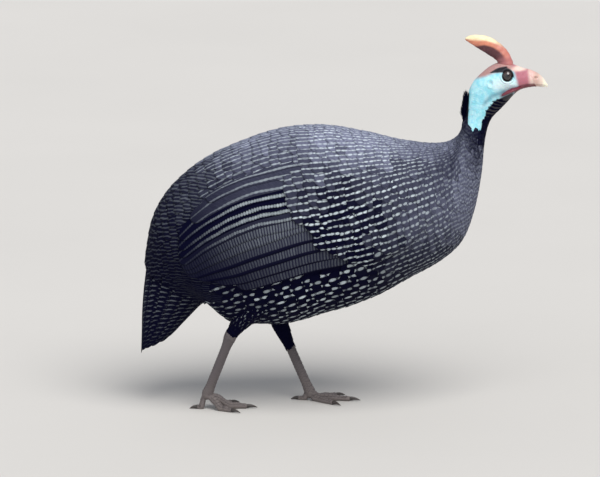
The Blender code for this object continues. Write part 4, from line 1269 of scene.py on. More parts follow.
@dataclass
class BirdSkin:
    """The one skin of the bird, from the tail's root to the bill, with both thighs."""

    sides: int = 160
    stretches: tuple[tuple[float, float, int], ...] = (
        (2.2, 12.0, 36), (12.0, 17.0, 26), (17.0, 20.3, 60), (20.3, 28.75, 190))
    depth_at: tuple[float, ...] = (2.2, 3.0, 4.0, 15.5, 16.8, 18.2, 19.2)
    depths: tuple[float, ...] = (6.5, 4.2, 2.8, 2.8, 1.6, 0.9, 0.1)
    thigh_top: float = 16.6
    thigh_foot: float = 5.0
    eye_hole: float = 5.2
    lid: float = 0.9

    def build(self, finish: bpy.types.Material) -> bpy.types.Object:
        """Makes the skin, which stands for every node of flesh."""
        stations = np.concatenate([np.linspace(a, b, n, endpoint=False) for a, b, n in self.stretches])
        k, turn = np.meshgrid(stations, np.arange(self.sides) * 360.0 / self.sides, indexing="ij")
        rings = LOFT.lifted(k, turn, self.sculpt(LOFT.point(k, turn)) - np.interp(k, self.depth_at, self.depths))
        made = new_mesh("skin", tube_points(rings), tube_faces(*rings.shape[:2]), finish)
        thighs = [solid_tube("thigh", thigh_limb(place, self.thigh_top, self.thigh_foot), 30, 40, finish)
                  for place in LEG_PLACES]
        unite(made, thighs).data.shade_smooth()
        self.paint(made.data)
        place_piece(made, "skin_blue", "torso", "neck", "head", "thigh_left", "thigh_right")
        LOG.info("skin: %d faces", len(made.data.polygons))
        return made

    def sculpt(self, points: Array) -> Array:
        """How far the head's own forms stand off the outline at points of it."""
        x, y, z = np.moveaxis(points, -1, 0)
        side = smooth(np.abs(y), 3.0, 6.0)
        off = np.hypot(x - EYE_X, z - EYE_Z)
        socket = -4.6 * (1 - smooth(off, self.eye_hole - 0.9, self.eye_hole + 0.7))
        lids = self.lid * np.exp(-(((off - self.eye_hole - 1.5) / 1.0) ** 2))
        creases = 0.28 * np.exp(-(((off - 9.0) / 0.55) ** 2)) - 0.3 * np.exp(-(((off - 8.1) / 0.5) ** 2))
        creases = creases * smooth(EYE_Z + 3.0 - z, -2.0, 4.0)
        brow = 0.9 * np.exp(-(((z - 354.2 + (x - EYE_X) ** 2 * 0.02) / 1.6) ** 2)) * (1 - smooth(off, 8.0, 14.0))
        ear_off = np.hypot((x - EAR_X) / 1.6, (z - EAR_Z) / 2.3)
        ear = -1.6 * (1 - smooth(ear_off, 0.4, 1.3)) + 0.55 * np.exp(-(((ear_off - 1.9) / 0.45) ** 2))
        gape = -0.9 * np.exp(-(((z - mouth_height(x)) / 0.55) ** 2)) * smooth(x, MOUTH_BACK - 1.5, MOUTH_BACK + 1.5)
        cheek = 0.7 * np.exp(-(((x - 173.0) / 7.0) ** 2 + ((z - 338.8) / 3.2) ** 2))
        return side * (socket + lids + creases + brow + ear + cheek) + gape + self.folds(points)

    def folds(self, points: Array) -> Array:
        """The loose skin's wrinkles across the upper neck and the puckered skin of the face."""
        x, y, z = np.moveaxis(points, -1, 0)
        neck = (1 - smooth(z, 332.0, 343.0)) * smooth(z, 286.0, 293.0) * (1 - 0.7 * Face.throat(x, z))
        slope = z + 0.42 * (x - 140.0) + 2.2 * ripple(points, 14.0, 1) + 0.7 * ripple(points, 5.0, 2)
        strength = 0.45 + 0.55 * ripple(points, 9.0, 3)
        ridges = 0.13 * strength * np.sin(slope * 2.3) + 0.06 * np.sin(slope * 4.9 + 2.0 * ripple(points, 6.0, 4))
        down = 0.07 * np.sin((x - 0.3 * z) * 1.6 + 2.5 * ripple(points, 8.0, 5))
        face = smooth(z, 334.0, 344.0) * smooth(x, 140.0, 150.0)
        return neck * (ridges + down) + face * (0.09 * ripple(points, 2.2, 6) + 0.07 * ripple(points, 5.0, 7))

    def paint(self, mesh: bpy.types.Mesh) -> None:
        """Keeps the masks that the skin's finish reads, the plumage's own marks and the unwrap."""
        points = read_points(mesh)
        k, turn = LOFT.place(points)
        x, z = points[:, 0], points[:, 2]
        black = smooth(Face.throat(x, z) + Face.collar(x, z) + Face.nape(x, z), 0.25, 0.7)
        crown = smooth(z - np.interp(x, (130.0, 145.0, 154.0, 172.0), (341.0, 346.4, 350.6, 353.4)), -2.0, 2.0)
        pale = np.exp(-((((x - 165.0) / 16.0) ** 2 + ((z - 339.4) / 6.4) ** 2) ** 2))
        rose = smooth(x + (z - 345.0) * 0.30, 174.0, 179.0)
        streak = np.exp(-(((z - np.interp(x, (160.0, 187.0), (326.6, 336.2))) / 2.6) ** 2))
        streak = streak * smooth(x, 158.0, 164.0)
        # Painted highlight: a pale band along the top of the cere, where the light falls on it.
        light = np.exp(-((((x - 181.0) / 9.0) ** 2 + ((z - 354.5) / 2.6) ** 2) ** 2))
        brow_off = np.hypot(x - EYE_X + 2.0, z - EYE_Z + 0.5)
        brow = np.exp(-(((brow_off - 7.6) / 1.5) ** 2)) * smooth(z - EYE_Z + 0.55 * (x - EYE_X), 0.5, 4.0)
        behind = np.interp(x, (150.0, 156.0, 161.0, 167.0), (350.4, 352.8, 354.0, 354.6))
        thick = np.interp(x, (150.0, 153.0, 158.0, 164.0), (0.4, 1.1, 2.3, 2.7))
        line = np.exp(-((((z - behind) / thick) ** 2) ** 2)) * (1 - smooth(x, 166.0, 170.0)) * smooth(x, 149.0, 151.0)
        brow = smooth(np.maximum(brow, line), 0.15, 0.8)
        chin = smooth(x, 171.0, 177.0) * (1 - smooth(z - mouth_height(np.maximum(x, MOUTH_BACK)), -2.6, -0.6))
        streak = np.maximum(streak, chin)
        # The skin at the bill's base takes the bill's own pale pink, in the same mask as the painted highlight.
        light = np.maximum(light, 0.8 * smooth(x + 0.1 * (z - 345.0), 187.5, 192.5))
        # Painted shade: a slate-blue band under the cheek and wattle stands for the shadow they cast on the neck.
        under = np.interp(x, (135.0, 143.0, 152.0, 163.0), (300.0, 318.0, 327.0, 331.0))
        cheek_shade = np.exp(-(((z - under) / 3.2) ** 2)) * smooth(x, 140.0, 146.0) * (1 - smooth(x, 164.0, 169.0))
        rim = 1 - smooth(np.hypot(x - EYE_X, z - EYE_Z), self.eye_hole + 0.1, self.eye_hole + 0.8)
        dark = np.clip(brow + rim, 0, 1)
        plume = 1 - smooth(k, 15.5, 17.0)
        keep_vectors(mesh, skin_a=np.stack([pale, rose, crown], -1), skin_b=np.stack([black, plume, dark], -1),
                     skin_c=np.stack([streak, light, cheek_shade], -1))
        lane = LIE.lane(k, turn)
        run = np.interp(k, np.arange(len(OUTLINE)), np.concatenate(
            [[0.0], np.cumsum(np.linalg.norm(np.diff(OUTLINE[:, :2], axis=0), axis=1))]))
        keep_vectors(mesh, vane=np.stack([lane / BodyFeathers.lane, run, np.full_like(run, 0.5)], -1),
                     **markings(k, turn))
        layer = mesh.uv_layers.new(name=BAKE_MAP)
        corners = np.zeros(len(mesh.loops), np.int32)
        mesh.loops.foreach_get("vertex_index", corners)
        places = bake_place(k, turn)[corners]
        layer.data.foreach_set("uv", places.astype(np.float32).ravel())


@dataclass
class ThighFeathers:
    """The small dark feathers round each thigh, which end as a ragged cuff over the ankle. On the forward leg the cuff
    reaches down the shank and stands partly for the belly's shadow there.
    """

    columns: int = 15
    step: float = 5.6
    length: float = 15.0
    spots: float = 0.35
    ragged: float = 2.0
    # The dark cuff over the forward ankle is partly feathering and partly painted shade of the belly on the shank.
    shade_cuff_shares: tuple[float, ...] = (-0.12, 0.0, 0.12, 0.24, 0.37)
    shade_cuff_radii: tuple[float, ...] = (7.4, 8.6, 7.7, 6.1, 5.2)
    form: FeatherForm = field(default_factory=lambda: FeatherForm(rows=7, thick=0.25, tip_round=0.3))

    def build(self, finish: bpy.types.Material) -> list[bpy.types.Object]:
        """Makes a piece of each thigh."""
        draw = np.random.default_rng(SEED + 3)
        return [self.cover(place, draw).build(finish) for place in LEG_PLACES]

    def cover(self, place: LegPlace, draw: np.random.Generator) -> Coat:
        """Lays one thigh's feathers, and on the forward leg those that come down over the ankle, which stand partly
        for the belly's shadow on the shank.
        """
        coat = Coat(f"feathers_thigh_{place.side.word}", "plumage")
        self.lay(coat, thigh_limb(place, BirdSkin.thigh_top + 0.6, BirdSkin.thigh_foot + 1.2), self.spots, draw)
        if place.side is Side.LEFT:
            self.lay(coat, self.shade_cuff(place), 0.0, draw)
        return coat

    def shade_cuff(self, place: LegPlace) -> Limb:
        """The taper of the feathers from above the ankle down to the bare shank, whose dark stands partly for the
        belly's shadow.
        """
        ankle, joint = np.array(place.ankle), np.array(place.joint)
        radii = np.array(self.shade_cuff_radii)
        centres = ankle + (joint - ankle) * np.array(self.shade_cuff_shares)[:, None]
        return Limb(centres, np.stack([radii, 0.85 * radii], -1), flat=True)

    def lay(self, coat: Coat, limb: Limb, spots: float, draw: np.random.Generator) -> None:
        """Lays feathers in rings down a limb.

        Args:
            coat: The piece that they join.
            limb: The limb under them.
            spots: How strong the marks of the upper rings are.
            draw: The source of their small differences.
        """
        span = float(np.linalg.norm(limb.centres[-1] - limb.centres[0]))
        u, v = (a.ravel() for a in self.form.grid())
        for row in range(2, int(span * 1.02 / self.step) + 1):
            for column in range(self.columns):
                tip = (row * self.step + draw.uniform(-1.0, 1.0) * self.ragged) / span
                middle = (column + 0.5 * (row % 2) + draw.uniform(-0.15, 0.15)) * 360.0 / self.columns
                size = draw.uniform(0.85, 1.15)
                s = tip - v * self.length * size / span
                angle = middle + u * 0.85 * 360.0 / self.columns
                lift = 1.1 * (1 - v) - 0.9 + 0.15 * draw.uniform(-1, 1) + 0.2 * (1 - u**2)
                thick = self.form.edge_thick + (self.form.thick - self.form.edge_thick) * (1 - np.abs(u))
                points = np.concatenate([limb.point(s, angle, lift), limb.point(s, angle, lift - thick)])[None]
                vane = np.stack([u, v * self.length, np.full(len(u), draw.uniform())], -1)
                k, turn = LOFT.place(points[0, -1:])
                faint = spots * (1 - smooth(tip, 0.45, 0.8))
                coat.add(self.form, points, bake_place(k, turn), {
                    "vane": np.concatenate([vane, vane])[None], "cells": np.array([1.0, 8.0, 0.5]),
                    "spot": np.array([0.16, 0.24, faint]), "ground": np.array([0.0, NO_EDGE, 0.0])})


@dataclass(frozen=True)
class SkinFinish:
    """The bare skin of the face and neck, and the marked dark skin under the feathers."""

    blue: Colour = (0.30, 0.74, 0.86)
    sky: Colour = (0.50, 0.86, 0.93)
    pale: Colour = (0.74, 0.93, 0.96)
    # The colour of the painted shade under the cheek.
    cheek_shade: Colour = (0.10, 0.22, 0.30)
    rose: Colour = (0.45, 0.148, 0.19)
    # Pale pink: a painted highlight on the cere's top, and the own colour of the skin at the bill's base.
    light: Colour = (0.86, 0.66, 0.57)
    streak: Colour = (0.13, 0.010, 0.022)
    black: Colour = (0.006, 0.006, 0.012)
    crown: Colour = (0.46, 0.255, 0.24)
    rough: float = 0.5

    def material(self, effects: Effects) -> bpy.types.Material:
        """Builds the finish from the masks of the skin."""
        made, g, shader = new_material("bare_skin", self.rough, Subsurface_Weight=0.1, Subsurface_Scale=0.0015)
        pores = use_group(g, effects.pores, {"Place": g.place(), "Grain": 1500.0})
        plumage, height = PlumageFinish().colour(g, effects)
        pale, rose, crown = g.parts(g.attribute("skin_a").outputs["Vector"])
        black, plume, dark = g.parts(g.attribute("skin_b").outputs["Vector"])
        streak, light, cheek_shade = g.parts(g.attribute("skin_c").outputs["Vector"])
        colour = g.mix(g.step(pores.outputs["Patch"], 0.35, 0.65), self.blue, self.sky)
        # The painted shade under the cheek is mixed in at most at 0.6.
        cheek_shade = g.math("MULTIPLY", cheek_shade, 0.6)
        for share, tone in ((pale, self.pale), (cheek_shade, self.cheek_shade), (crown, self.crown), (rose, self.rose), (light, self.light),
                            (streak, self.streak), (black, self.black), (dark, self.black), (plume, plumage)):
            colour = g.mix(share, colour, tone)
        shade = g.math("MULTIPLY_ADD", g.step(pores.outputs["Height"], 0.35, 1.0), 0.2, 0.86)
        g.plug(shader.inputs["Base Color"], g.mix(shade, self.black, colour))
        bump = g.add("Bump", {"Height": pores.outputs["Height"], "Strength": 0.5, "Distance": 0.0003})
        g.plug(shader.inputs["Normal"], bump.outputs[0])
        return made


@dataclass(frozen=True)
class HornFinish:
    """Horn: of the casque, the bill or the claws, paler at its edge and streaked along its growth. On the casque the
    pale top edge is a painted highlight, and the dark underside is partly the horn's own maroon and partly painted
    shade.
    """

    name: str
    low: Colour
    middle: Colour
    high: Colour
    stain: Colour
    rough: float = 0.42
    grain: float = 260.0
    edges: tuple[float, ...] = (0.05, 0.5, 0.5, 0.9)

    def material(self, effects: Effects) -> bpy.types.Material:
        """Builds the finish from the attribute horn, which is (height share, stain, place along)."""
        made, g, shader = new_material(self.name, self.rough, Coat_Weight=0.12, Coat_Roughness=0.3,
                                       Subsurface_Weight=0.08, Subsurface_Scale=0.0015)
        height, stain, along = g.parts(g.attribute("horn").outputs["Vector"])
        place = g.place()
        fibres = g.noise(g.vector(g.math("MULTIPLY", along, 0.25), g.math("MULTIPLY", height, 14.0), 0.0), 2.2, 4.0)
        height = g.math("MULTIPLY_ADD", g.math("SUBTRACT", fibres, 0.5), 0.22, height)
        colour = g.mix(g.step(height, self.edges[0], self.edges[1]), self.low, self.middle)
        colour = g.mix(g.step(height, self.edges[2], self.edges[3]), colour, self.high)
        colour = g.mix(stain, colour, self.stain)
        pores = use_group(g, effects.pores, {"Place": place, "Grain": self.grain * 5.0})
        colour = g.mix(g.math("MULTIPLY", g.step(pores.outputs["Patch"], 0.5, 0.8), 0.25), colour, self.stain)
        g.plug(shader.inputs["Base Color"], colour)
        total = g.math("MULTIPLY_ADD", fibres, 1.2, pores.outputs["Height"])
        bump = g.add("Bump", {"Height": total, "Strength": 0.35, "Distance": 0.0003})
        g.plug(shader.inputs["Normal"], bump.outputs[0])
        return made


@dataclass
class Casque:
    """The tall helmet of horn that leans back over the crown."""

    rows: tuple = ((167.0, 354.0, 8.4, 7.0), (165.6, 361.0, 7.4, 6.3), (160.2, 368.6, 7.6, 5.5),
                   (152.6, 374.6, 8.2, 4.8), (144.4, 379.1, 7.8, 4.1), (136.6, 382.0, 6.1, 3.3),
                   (129.4, 383.7, 3.7, 2.2), (124.9, 384.3, 1.2, 0.9))
    band_at: tuple[float, ...] = (0.0, 0.14, 0.28, 0.43, 0.57, 0.71, 0.86, 1.0)
    # Along the casque: where the dark band underneath ends on the way up (partly its own maroon, partly painted
    # shade), and where the painted highlight along the top begins.
    dark_top: tuple[float, ...] = (0.50, 0.62, 0.66, 0.60, 0.46, 0.06, -0.28, -0.40)
    pale_foot: tuple[float, ...] = (1.50, 1.35, 1.06, 0.86, 0.76, 0.60, 0.50, 0.38)

    def build(self, finish: bpy.types.Material) -> bpy.types.Object:
        """Makes the casque, which stands for its node."""
        rows = np.array(self.rows)
        limb = Limb(np.stack([rows[:, 0], 0 * rows[:, 0], rows[:, 1]], -1), rows[:, 2:], flat=True)
        s, angle = np.meshgrid(np.linspace(0, 1, 90), np.arange(72) * 5.0, indexing="ij")
        top = (1 - np.cos(np.radians(angle))) / 2
        keel = 0.55 * smooth(top, 0.9, 1.0) * smooth(s, 0.1, 0.3) * (1 - smooth(s, 0.8, 1.0))
        rings = limb.point(s, angle, keel + self.growth(s, angle))
        made = new_mesh("horn_casque", tube_points(rings), tube_faces(90, 72), finish)
        base = np.maximum(0.85 * (1 - smooth(s, 0.12, 0.32)), 0.45 * (1 - smooth(s, 0.34, 0.54)) * smooth(top, 0.5, 0.8))
        # Painted light: the share runs from painted shade on the underside to a painted highlight along the top.
        dark, pale = (np.interp(s, self.band_at, share) for share in (self.dark_top, self.pale_foot))
        self.keep(made.data, (top - dark) / (pale - dark), base, s)
        return place_piece(made, "casque", "casque")

    def growth(self, s: Array, angle: Array) -> Array:
        """The low ridges of growth, and the wear of the horn."""
        waves = 0.13 * np.sin(s * 74.0 + 1.6 * np.sin(np.radians(angle) * 2)) * (1 - smooth(s, 0.2, 0.75))
        wear = 0.10 * np.sin(s * 21.0 + np.radians(angle) * 3) + 0.07 * np.sin(s * 47.0 - np.radians(angle) * 5)
        return waves + wear - 0.1

    def keep(self, mesh: bpy.types.Mesh, top: Array, base: Array, s: Array) -> None:
        """Keeps the horn's attribute for every point."""
        values = np.stack([top, base, s * 60.0], -1).reshape(-1, 3)
        keep_vectors(mesh, horn=np.concatenate([values, values[:1], values[-1:]]))


@dataclass
class Bill:
    """The two halves of the bill, parted along the line of the mouth."""

    back: float = 28.6
    lower_end: float = 31.3
    count: int = 70
    sides: int = 48
    nostril: tuple[float, float] = (197.3, 345.0)

    def build(self, finish: bpy.types.Material) -> list[bpy.types.Object]:
        """Makes both halves, which stand for their nodes."""
        return [self.half("bill_top", "upper_bill", True, len(OUTLINE) - 1.02, finish),
                self.half("bill_bottom", "lower_bill", False, self.lower_end, finish)]

    def corner(self, k: Array) -> Array:
        """The turn at which each section meets the line of the mouth."""
        low, high = np.zeros_like(k), np.full_like(k, 180.0)
        for _ in range(LOFT.search_steps):
            turn = (low + high) / 2
            point = LOFT.point(k, turn)
            above = point[..., 2] > mouth_height(point[..., 0])
            low, high = np.where(above, turn, low), np.where(above, high, turn)
        return low

    def half(self, name: str, node: str, upper: bool, end: float, finish: bpy.types.Material) -> bpy.types.Object:
        """One half of the bill.

        Args:
            name: The piece's name.
            node: The node it stands for.
            upper: Whether it is the upper half.
            end: Its last station.
            finish: Its horn.

        Returns:
            The piece.
        """
        k = np.linspace(self.back, end, self.count)
        corner = self.corner(k)[:, None]
        hook = smooth(k, 31.25, 31.8)[:, None] * upper
        corner = corner + (176.0 - corner) * hook
        share = np.linspace(-1, 1, self.sides)[None]
        turn = corner * share if upper else 180.0 + (180.0 - corner) * share
        k = np.broadcast_to(k[:, None], turn.shape)
        outer = LOFT.point(k, turn)
        outer = LOFT.lifted(k, turn, self.sculpt(outer, upper))
        inner = outer[:, ::-1].copy()
        gap = 0.12 if upper else -0.12
        roof = mouth_height(inner[..., 0]) + gap
        hollow = 4.0 * gap * (1 - share**2)
        flat = 1 - hook
        first, last = outer[:, :1], outer[:, -1:]
        across = share[:, ::-1]
        inner[..., 0] = (first[..., 0] + last[..., 0]) / 2
        inner[..., 1] = (last[..., 1] * (1 + across) + first[..., 1] * (1 - across)) / 2 * 0.96
        inner[..., 2] = (first[..., 2] + last[..., 2]) / 2 * (1 - flat) + (roof + hollow) * flat
        rings = np.concatenate([outer, inner[:, 1:-1]], axis=1)
        made = new_mesh(name, tube_points(rings), tube_faces(*rings.shape[:2]), finish)
        x = rings[..., 0]
        height = smooth(x, 196.0, 209.0)
        off = np.hypot((x - self.nostril[0]) / 2.2, (rings[..., 2] - self.nostril[1]) / 1.3)
        stain = 1 - smooth(x - (rings[..., 2] - 345.0) * 0.25, 191.5, 198.0)
        hole = (1 - smooth(off, 0.5, 1.1)) * upper
        values = np.stack([height * (1 - hole), np.clip(stain, 0, 1), x - 190.0], -1).reshape(-1, 3)
        keep_vectors(made.data, horn=np.concatenate([values, values[:1], values[-1:]]))
        return place_piece(made, "bill", node)

    def sculpt(self, points: Array, upper: bool) -> Array:
        """The nostrils' hollows with the soft flap over each, and the edge that overhangs the mouth."""
        x, _, z = np.moveaxis(points, -1, 0)
        if not upper:
            return -0.25 * np.ones_like(x)
        off = np.hypot((x - self.nostril[0]) / 2.0, (z - self.nostril[1] + 0.25 * (x - self.nostril[0])) / 1.05)
        flap = np.hypot((x - self.nostril[0]) / 2.6, (z - self.nostril[1] - 1.3) / 0.9)
        hole = -1.7 * (1 - smooth(off, 0.45, 1.25)) + 0.45 * np.exp(-(flap**2))
        lip = 0.22 * np.exp(-(((z - mouth_height(x) - 0.7) / 0.8) ** 2))
        return hole + lip


@dataclass
class Wattles:
    """The red flaps of skin at the corners of the mouth."""

    rows: tuple = ((185.0, 5.4, 336.2, 2.0, 1.5), (179.0, 10.6, 335.2, 3.1, 1.6), (174.0, 14.0, 334.0, 3.9, 1.4),
                   (169.0, 16.6, 332.2, 3.9, 1.2), (164.6, 18.2, 330.2, 3.0, 0.9), (162.0, 18.9, 329.0, 1.2, 0.6))

    def build(self, finish: bpy.types.Material) -> list[bpy.types.Object]:
        """Makes both, which stand for their nodes."""
        rows = np.array(self.rows)
        made = []
        for side in Side:
            centres = rows[:, :3] * np.array([1.0, side.value, 1.0])
            limb = Limb(centres, rows[:, [4, 3]])
            s, angle = np.meshgrid(np.linspace(0, 1, 70), np.arange(64) * 360.0 / 64, indexing="ij")
            turn = np.radians(angle)
            bumps = 0.12 * np.sin(s * 60.0 + 3 * np.sin(turn)) * np.sin(turn * 9) + 0.1 * np.sin(turn * 5 + s * 9)
            rings = limb.point(s, angle, bumps * (1 - smooth(s, 0.85, 1.0)))
            piece = new_mesh(f"gape_wattle_{side.word}", tube_points(rings), tube_faces(70, 64), finish)
            made.append(place_piece(piece, "wattle", f"wattle_{side.word}"))
        return made


@dataclass(frozen=True)
class WattleFinish:
    """Deep red skin with a fine warty grain, and darker folds."""

    red: Colour = (0.17, 0.014, 0.032)
    dark: Colour = (0.04, 0.004, 0.010)
    rough: float = 0.42

    def material(self, effects: Effects) -> bpy.types.Material:
        """Builds the finish."""
        made, g, shader = new_material("wattle_skin", self.rough, Subsurface_Weight=0.15, Subsurface_Scale=0.0015)
        pores = use_group(g, effects.pores, {"Place": g.place(), "Grain": 1100.0})
        colour = g.mix(g.step(pores.outputs["Height"], 0.3, 0.95), self.dark, self.red)
        g.plug(shader.inputs["Base Color"], colour)
        bump = g.add("Bump", {"Height": pores.outputs["Height"], "Strength": 0.7, "Distance": 0.0004})
        g.plug(shader.inputs["Normal"], bump.outputs[0])
        return made


@dataclass
class Eyes:
    """Two eyeballs with domed corneas."""

    radius: float = 5.9
    rings: int = 40
    sides: int = 64

    def build(self, finish: bpy.types.Material) -> list[bpy.types.Object]:
        """Makes both, which stand for their nodes."""
        made = []
        for side in Side:
            angle, turn = np.meshgrid(np.linspace(0.02, math.pi - 0.02, self.rings),
                                      np.arange(self.sides) * 2 * math.pi / self.sides, indexing="ij")
            size = self.radius + 0.25 * np.exp(-((angle / 0.5) ** 2))
            out = side.value * np.cos(angle) * size
            around = np.sin(angle) * size
            rings = np.stack([EYE_X + around * np.cos(turn), side.value * EYE_Y + out,
                              EYE_Z + around * np.sin(turn) * side.value], -1)
            piece = new_mesh(f"eyeball_{side.word}", tube_points(rings), tube_faces(self.rings, self.sides), finish)
            value = np.stack([angle, turn, angle], -1).reshape(-1, 3)
            keep_vectors(piece.data, iris=np.concatenate([value, value[:1], value[-1:]]))
            made.append(place_piece(piece, "eye", f"eye_{side.word}"))
        return made


@dataclass(frozen=True)
class EyeFinish:
    """A wet dark brown iris round a wide black pupil."""

    pupil: Colour = (0.001, 0.001, 0.0015)
    iris: Colour = (0.055, 0.018, 0.008)
    white: Colour = (0.02, 0.012, 0.012)

    def material(self, effects: Effects) -> bpy.types.Material:
        """Builds the finish from the angle away from the eye's own axis."""
        made, g, shader = new_material("eye_wet", 0.12, Coat_Weight=1.0, Coat_Roughness=0.03)
        angle, turn, _ = g.parts(g.attribute("iris").outputs["Vector"])
        rays = g.noise(g.vector(g.math("MULTIPLY", turn, 5.0), g.math("MULTIPLY", angle, 3.0), 0.0), 3.0, 3.0)
        iris = g.mix(g.step(rays, 0.3, 0.7), self.pupil, self.iris)
        colour = g.mix(g.step(angle, 0.38, 0.42), self.pupil, iris)
        g.plug(shader.inputs["Base Color"], g.mix(g.step(angle, 0.8, 0.9), colour, self.white))
        return made


@dataclass
class BareLeg:
    """One bare shank and foot, with its scutes and claws."""

    place: LegPlace
    deep: float = 4.5
    wide: float = 3.5
    ankle_swell: float = 2.0
    joint_swell: float = 1.3
    voxel: float = 0.42
    columns: tuple = ((24.0, 33.0, 15, 0.0), (66.0, 15.0, 26, 0.5), (90.0, 14.0, 28, 0.0),
                      (113.0, 14.0, 28, 0.5), (136.0, 14.0, 26, 0.0), (161.0, 22.0, 19, 0.0))
    scute_form: FeatherForm = field(default_factory=lambda: FeatherForm(
        columns=9, rows=6, tip_round=0.16, root_half=0.94, thick=0.6, edge_thick=0.35, fray=0.0, arch=0.0))

    def build(self, skin: bpy.types.Material, horn: bpy.types.Material, claw: bpy.types.Material) -> None:
        """Makes the leg's pieces, which stand for its nodes.

        Args:
            skin: The finish of the skin between the scutes.
            horn: The finish of the scutes.
            claw: The finish of the claws.
        """
        word = self.place.side.word
        tubes = [solid_tube("shank", self.shank(), 40, 24, skin)]
        tubes += [solid_tube("toe", limb, 40, 20, skin) for _, limb, _ in self.toes()]
        tubes.append(solid_tube("pad", self.pad(), 14, 24, skin))
        made = blend_mesh(unite(tubes[0], tubes[1:]), self.voxel, 3)
        made.name = f"leg_skin_{word}"
        points = read_points(made.data)
        points[:, 2] = np.maximum(points[:, 2], -SHIFT[2] + 0.02)
        write_points(made.data, points)
        place_piece(made, "leg", f"shank_{word}", f"foot_{word}")
        self.scutes(horn)
        for toe, limb, way in self.toes():
            self.claw(toe, limb, way, claw)

    def shank(self) -> Limb:
        """The shank, from inside the thigh to the joint of the toes."""
        ankle, joint = np.array(self.place.ankle), np.array(self.place.joint)
        shares = np.linspace(-0.06, 1.0, 16)
        length = np.linalg.norm(joint - ankle)
        swell = self.ankle_swell * np.exp(-((shares * length / 9.0) ** 2))
        swell = swell + self.joint_swell * np.exp(-(((1 - shares) * length / 7.0) ** 2))
        radii = np.stack([self.deep + swell, self.wide + swell], -1)
        return Limb(ankle + (joint - ankle) * shares[:, None], radii, flat=True)

    def pad(self) -> Limb:
        """The ball of the foot, as a short upright tube with rounded ends."""
        x, y, z = self.place.joint
        turns = np.linspace(0.12, math.pi - 0.12, 9)
        centres = np.array([(x, y, z + 5.4 * math.cos(t)) for t in turns])
        return Limb(centres, np.stack([5.4 * np.sin(turns), 5.0 * np.sin(turns)], -1), flat=True)

    def toes(self) -> list[tuple[Toe, Limb, Array]]:
        """Each toe with its limb, which comes down from the joint and lies on the ground, and its way."""
        made = []
        x, y, z = self.place.joint
        for toe in TOES:
            hind = toe.word == "hind"
            turn = math.radians(self.place.heading + toe.turn * self.place.side.value)
            way = np.array([math.cos(turn), math.sin(turn), 0.0])
            length = toe.length * (0.8 if hind and self.place.bend > 10.0 else 1.0)
            drop = min(self.place.bend, 0.55 * length)
            lying = np.array([toe.radius, (toe.radius + toe.tip_radius) / 2, toe.tip_radius])
            knuckle = 0.62 * z + 0.3 * toe.radius + 3.0 * hind
            heights = np.array([z, knuckle, *(0.84 * lying)])
            runs = np.array([0.0, drop / 2, drop, (drop + length) / 2, length])
            centres = np.array([x, y, 0.0]) + way * runs[:, None] + np.array([0.0, 0.0, 1.0]) * heights[:, None]
            fine = through(centres, np.linspace(0, 4, 25))
            radii = np.interp(np.linspace(0, 4, 25), np.arange(5), [toe.radius, toe.radius, *lying]) - 0.25
            joints = 0.28 * np.cos(np.linspace(0, 1, 25) * 2 * math.pi * (2 if hind else 4))
            radii = np.stack([radii + joints, radii + joints], -1)
            made.append((toe, Limb(fine, radii), way))
        return made

    def scutes(self, finish: bpy.types.Material) -> bpy.types.Object:
        """The plates down the front and back of the shank and along the top of each toe."""
        coat = Coat(f"scutes_{self.place.side.word}", "leg")
        shank = self.shank()
        for angle, half, rows, shift in self.columns:
            for turn in (angle, -angle):
                for row in range(rows):
                    start = 0.075 + 0.88 * (row + shift) / rows
                    self.plate(coat, shank, (start, 0.88 * 1.32 / rows), (turn, half))
        for toe, limb, _ in self.toes():
            rows = 5 if toe.word == "hind" else round(toe.length / 2.7)
            for row in range(rows):
                self.plate(coat, limb, (0.14 + 0.8 * row / rows, 0.8 * 1.35 / rows), (0.0, 66.0))
        return coat.build(finish)

    def plate(self, coat: Coat, limb: Limb, along: tuple[float, float], round_: tuple[float, float]) -> None:
        """One scute.

        Args:
            coat: The piece it joins.
            limb: What it lies on.
            along: The share of the limb where it begins, and its length as a share.
            round_: The angle of its middle and half its width in degrees.
        """
        u, v = (a.ravel() for a in self.scute_form.grid())
        s = along[0] + along[1] * (1 - v)
        lift = 0.05 + 0.42 * (1 - v) - 0.35 * smooth(np.abs(u), 0.75, 1.0)
        angle = round_[0] + round_[1] * u
        thick = self.scute_form.edge_thick + (self.scute_form.thick - self.scute_form.edge_thick) * (1 - u**2)
        outer, inner = limb.point(s, angle, lift), limb.point(s, angle, lift - thick)
        points = np.concatenate([outer, inner])
        points[:, 2] = np.maximum(points[:, 2], -SHIFT[2] + 0.02)
        vane = np.tile(np.stack([u, v, np.full(len(u), along[0])], -1), (2, 1))
        coat.add(self.scute_form, points[None], np.array([[0.5, 0.5]]), {"vane": vane[None]})

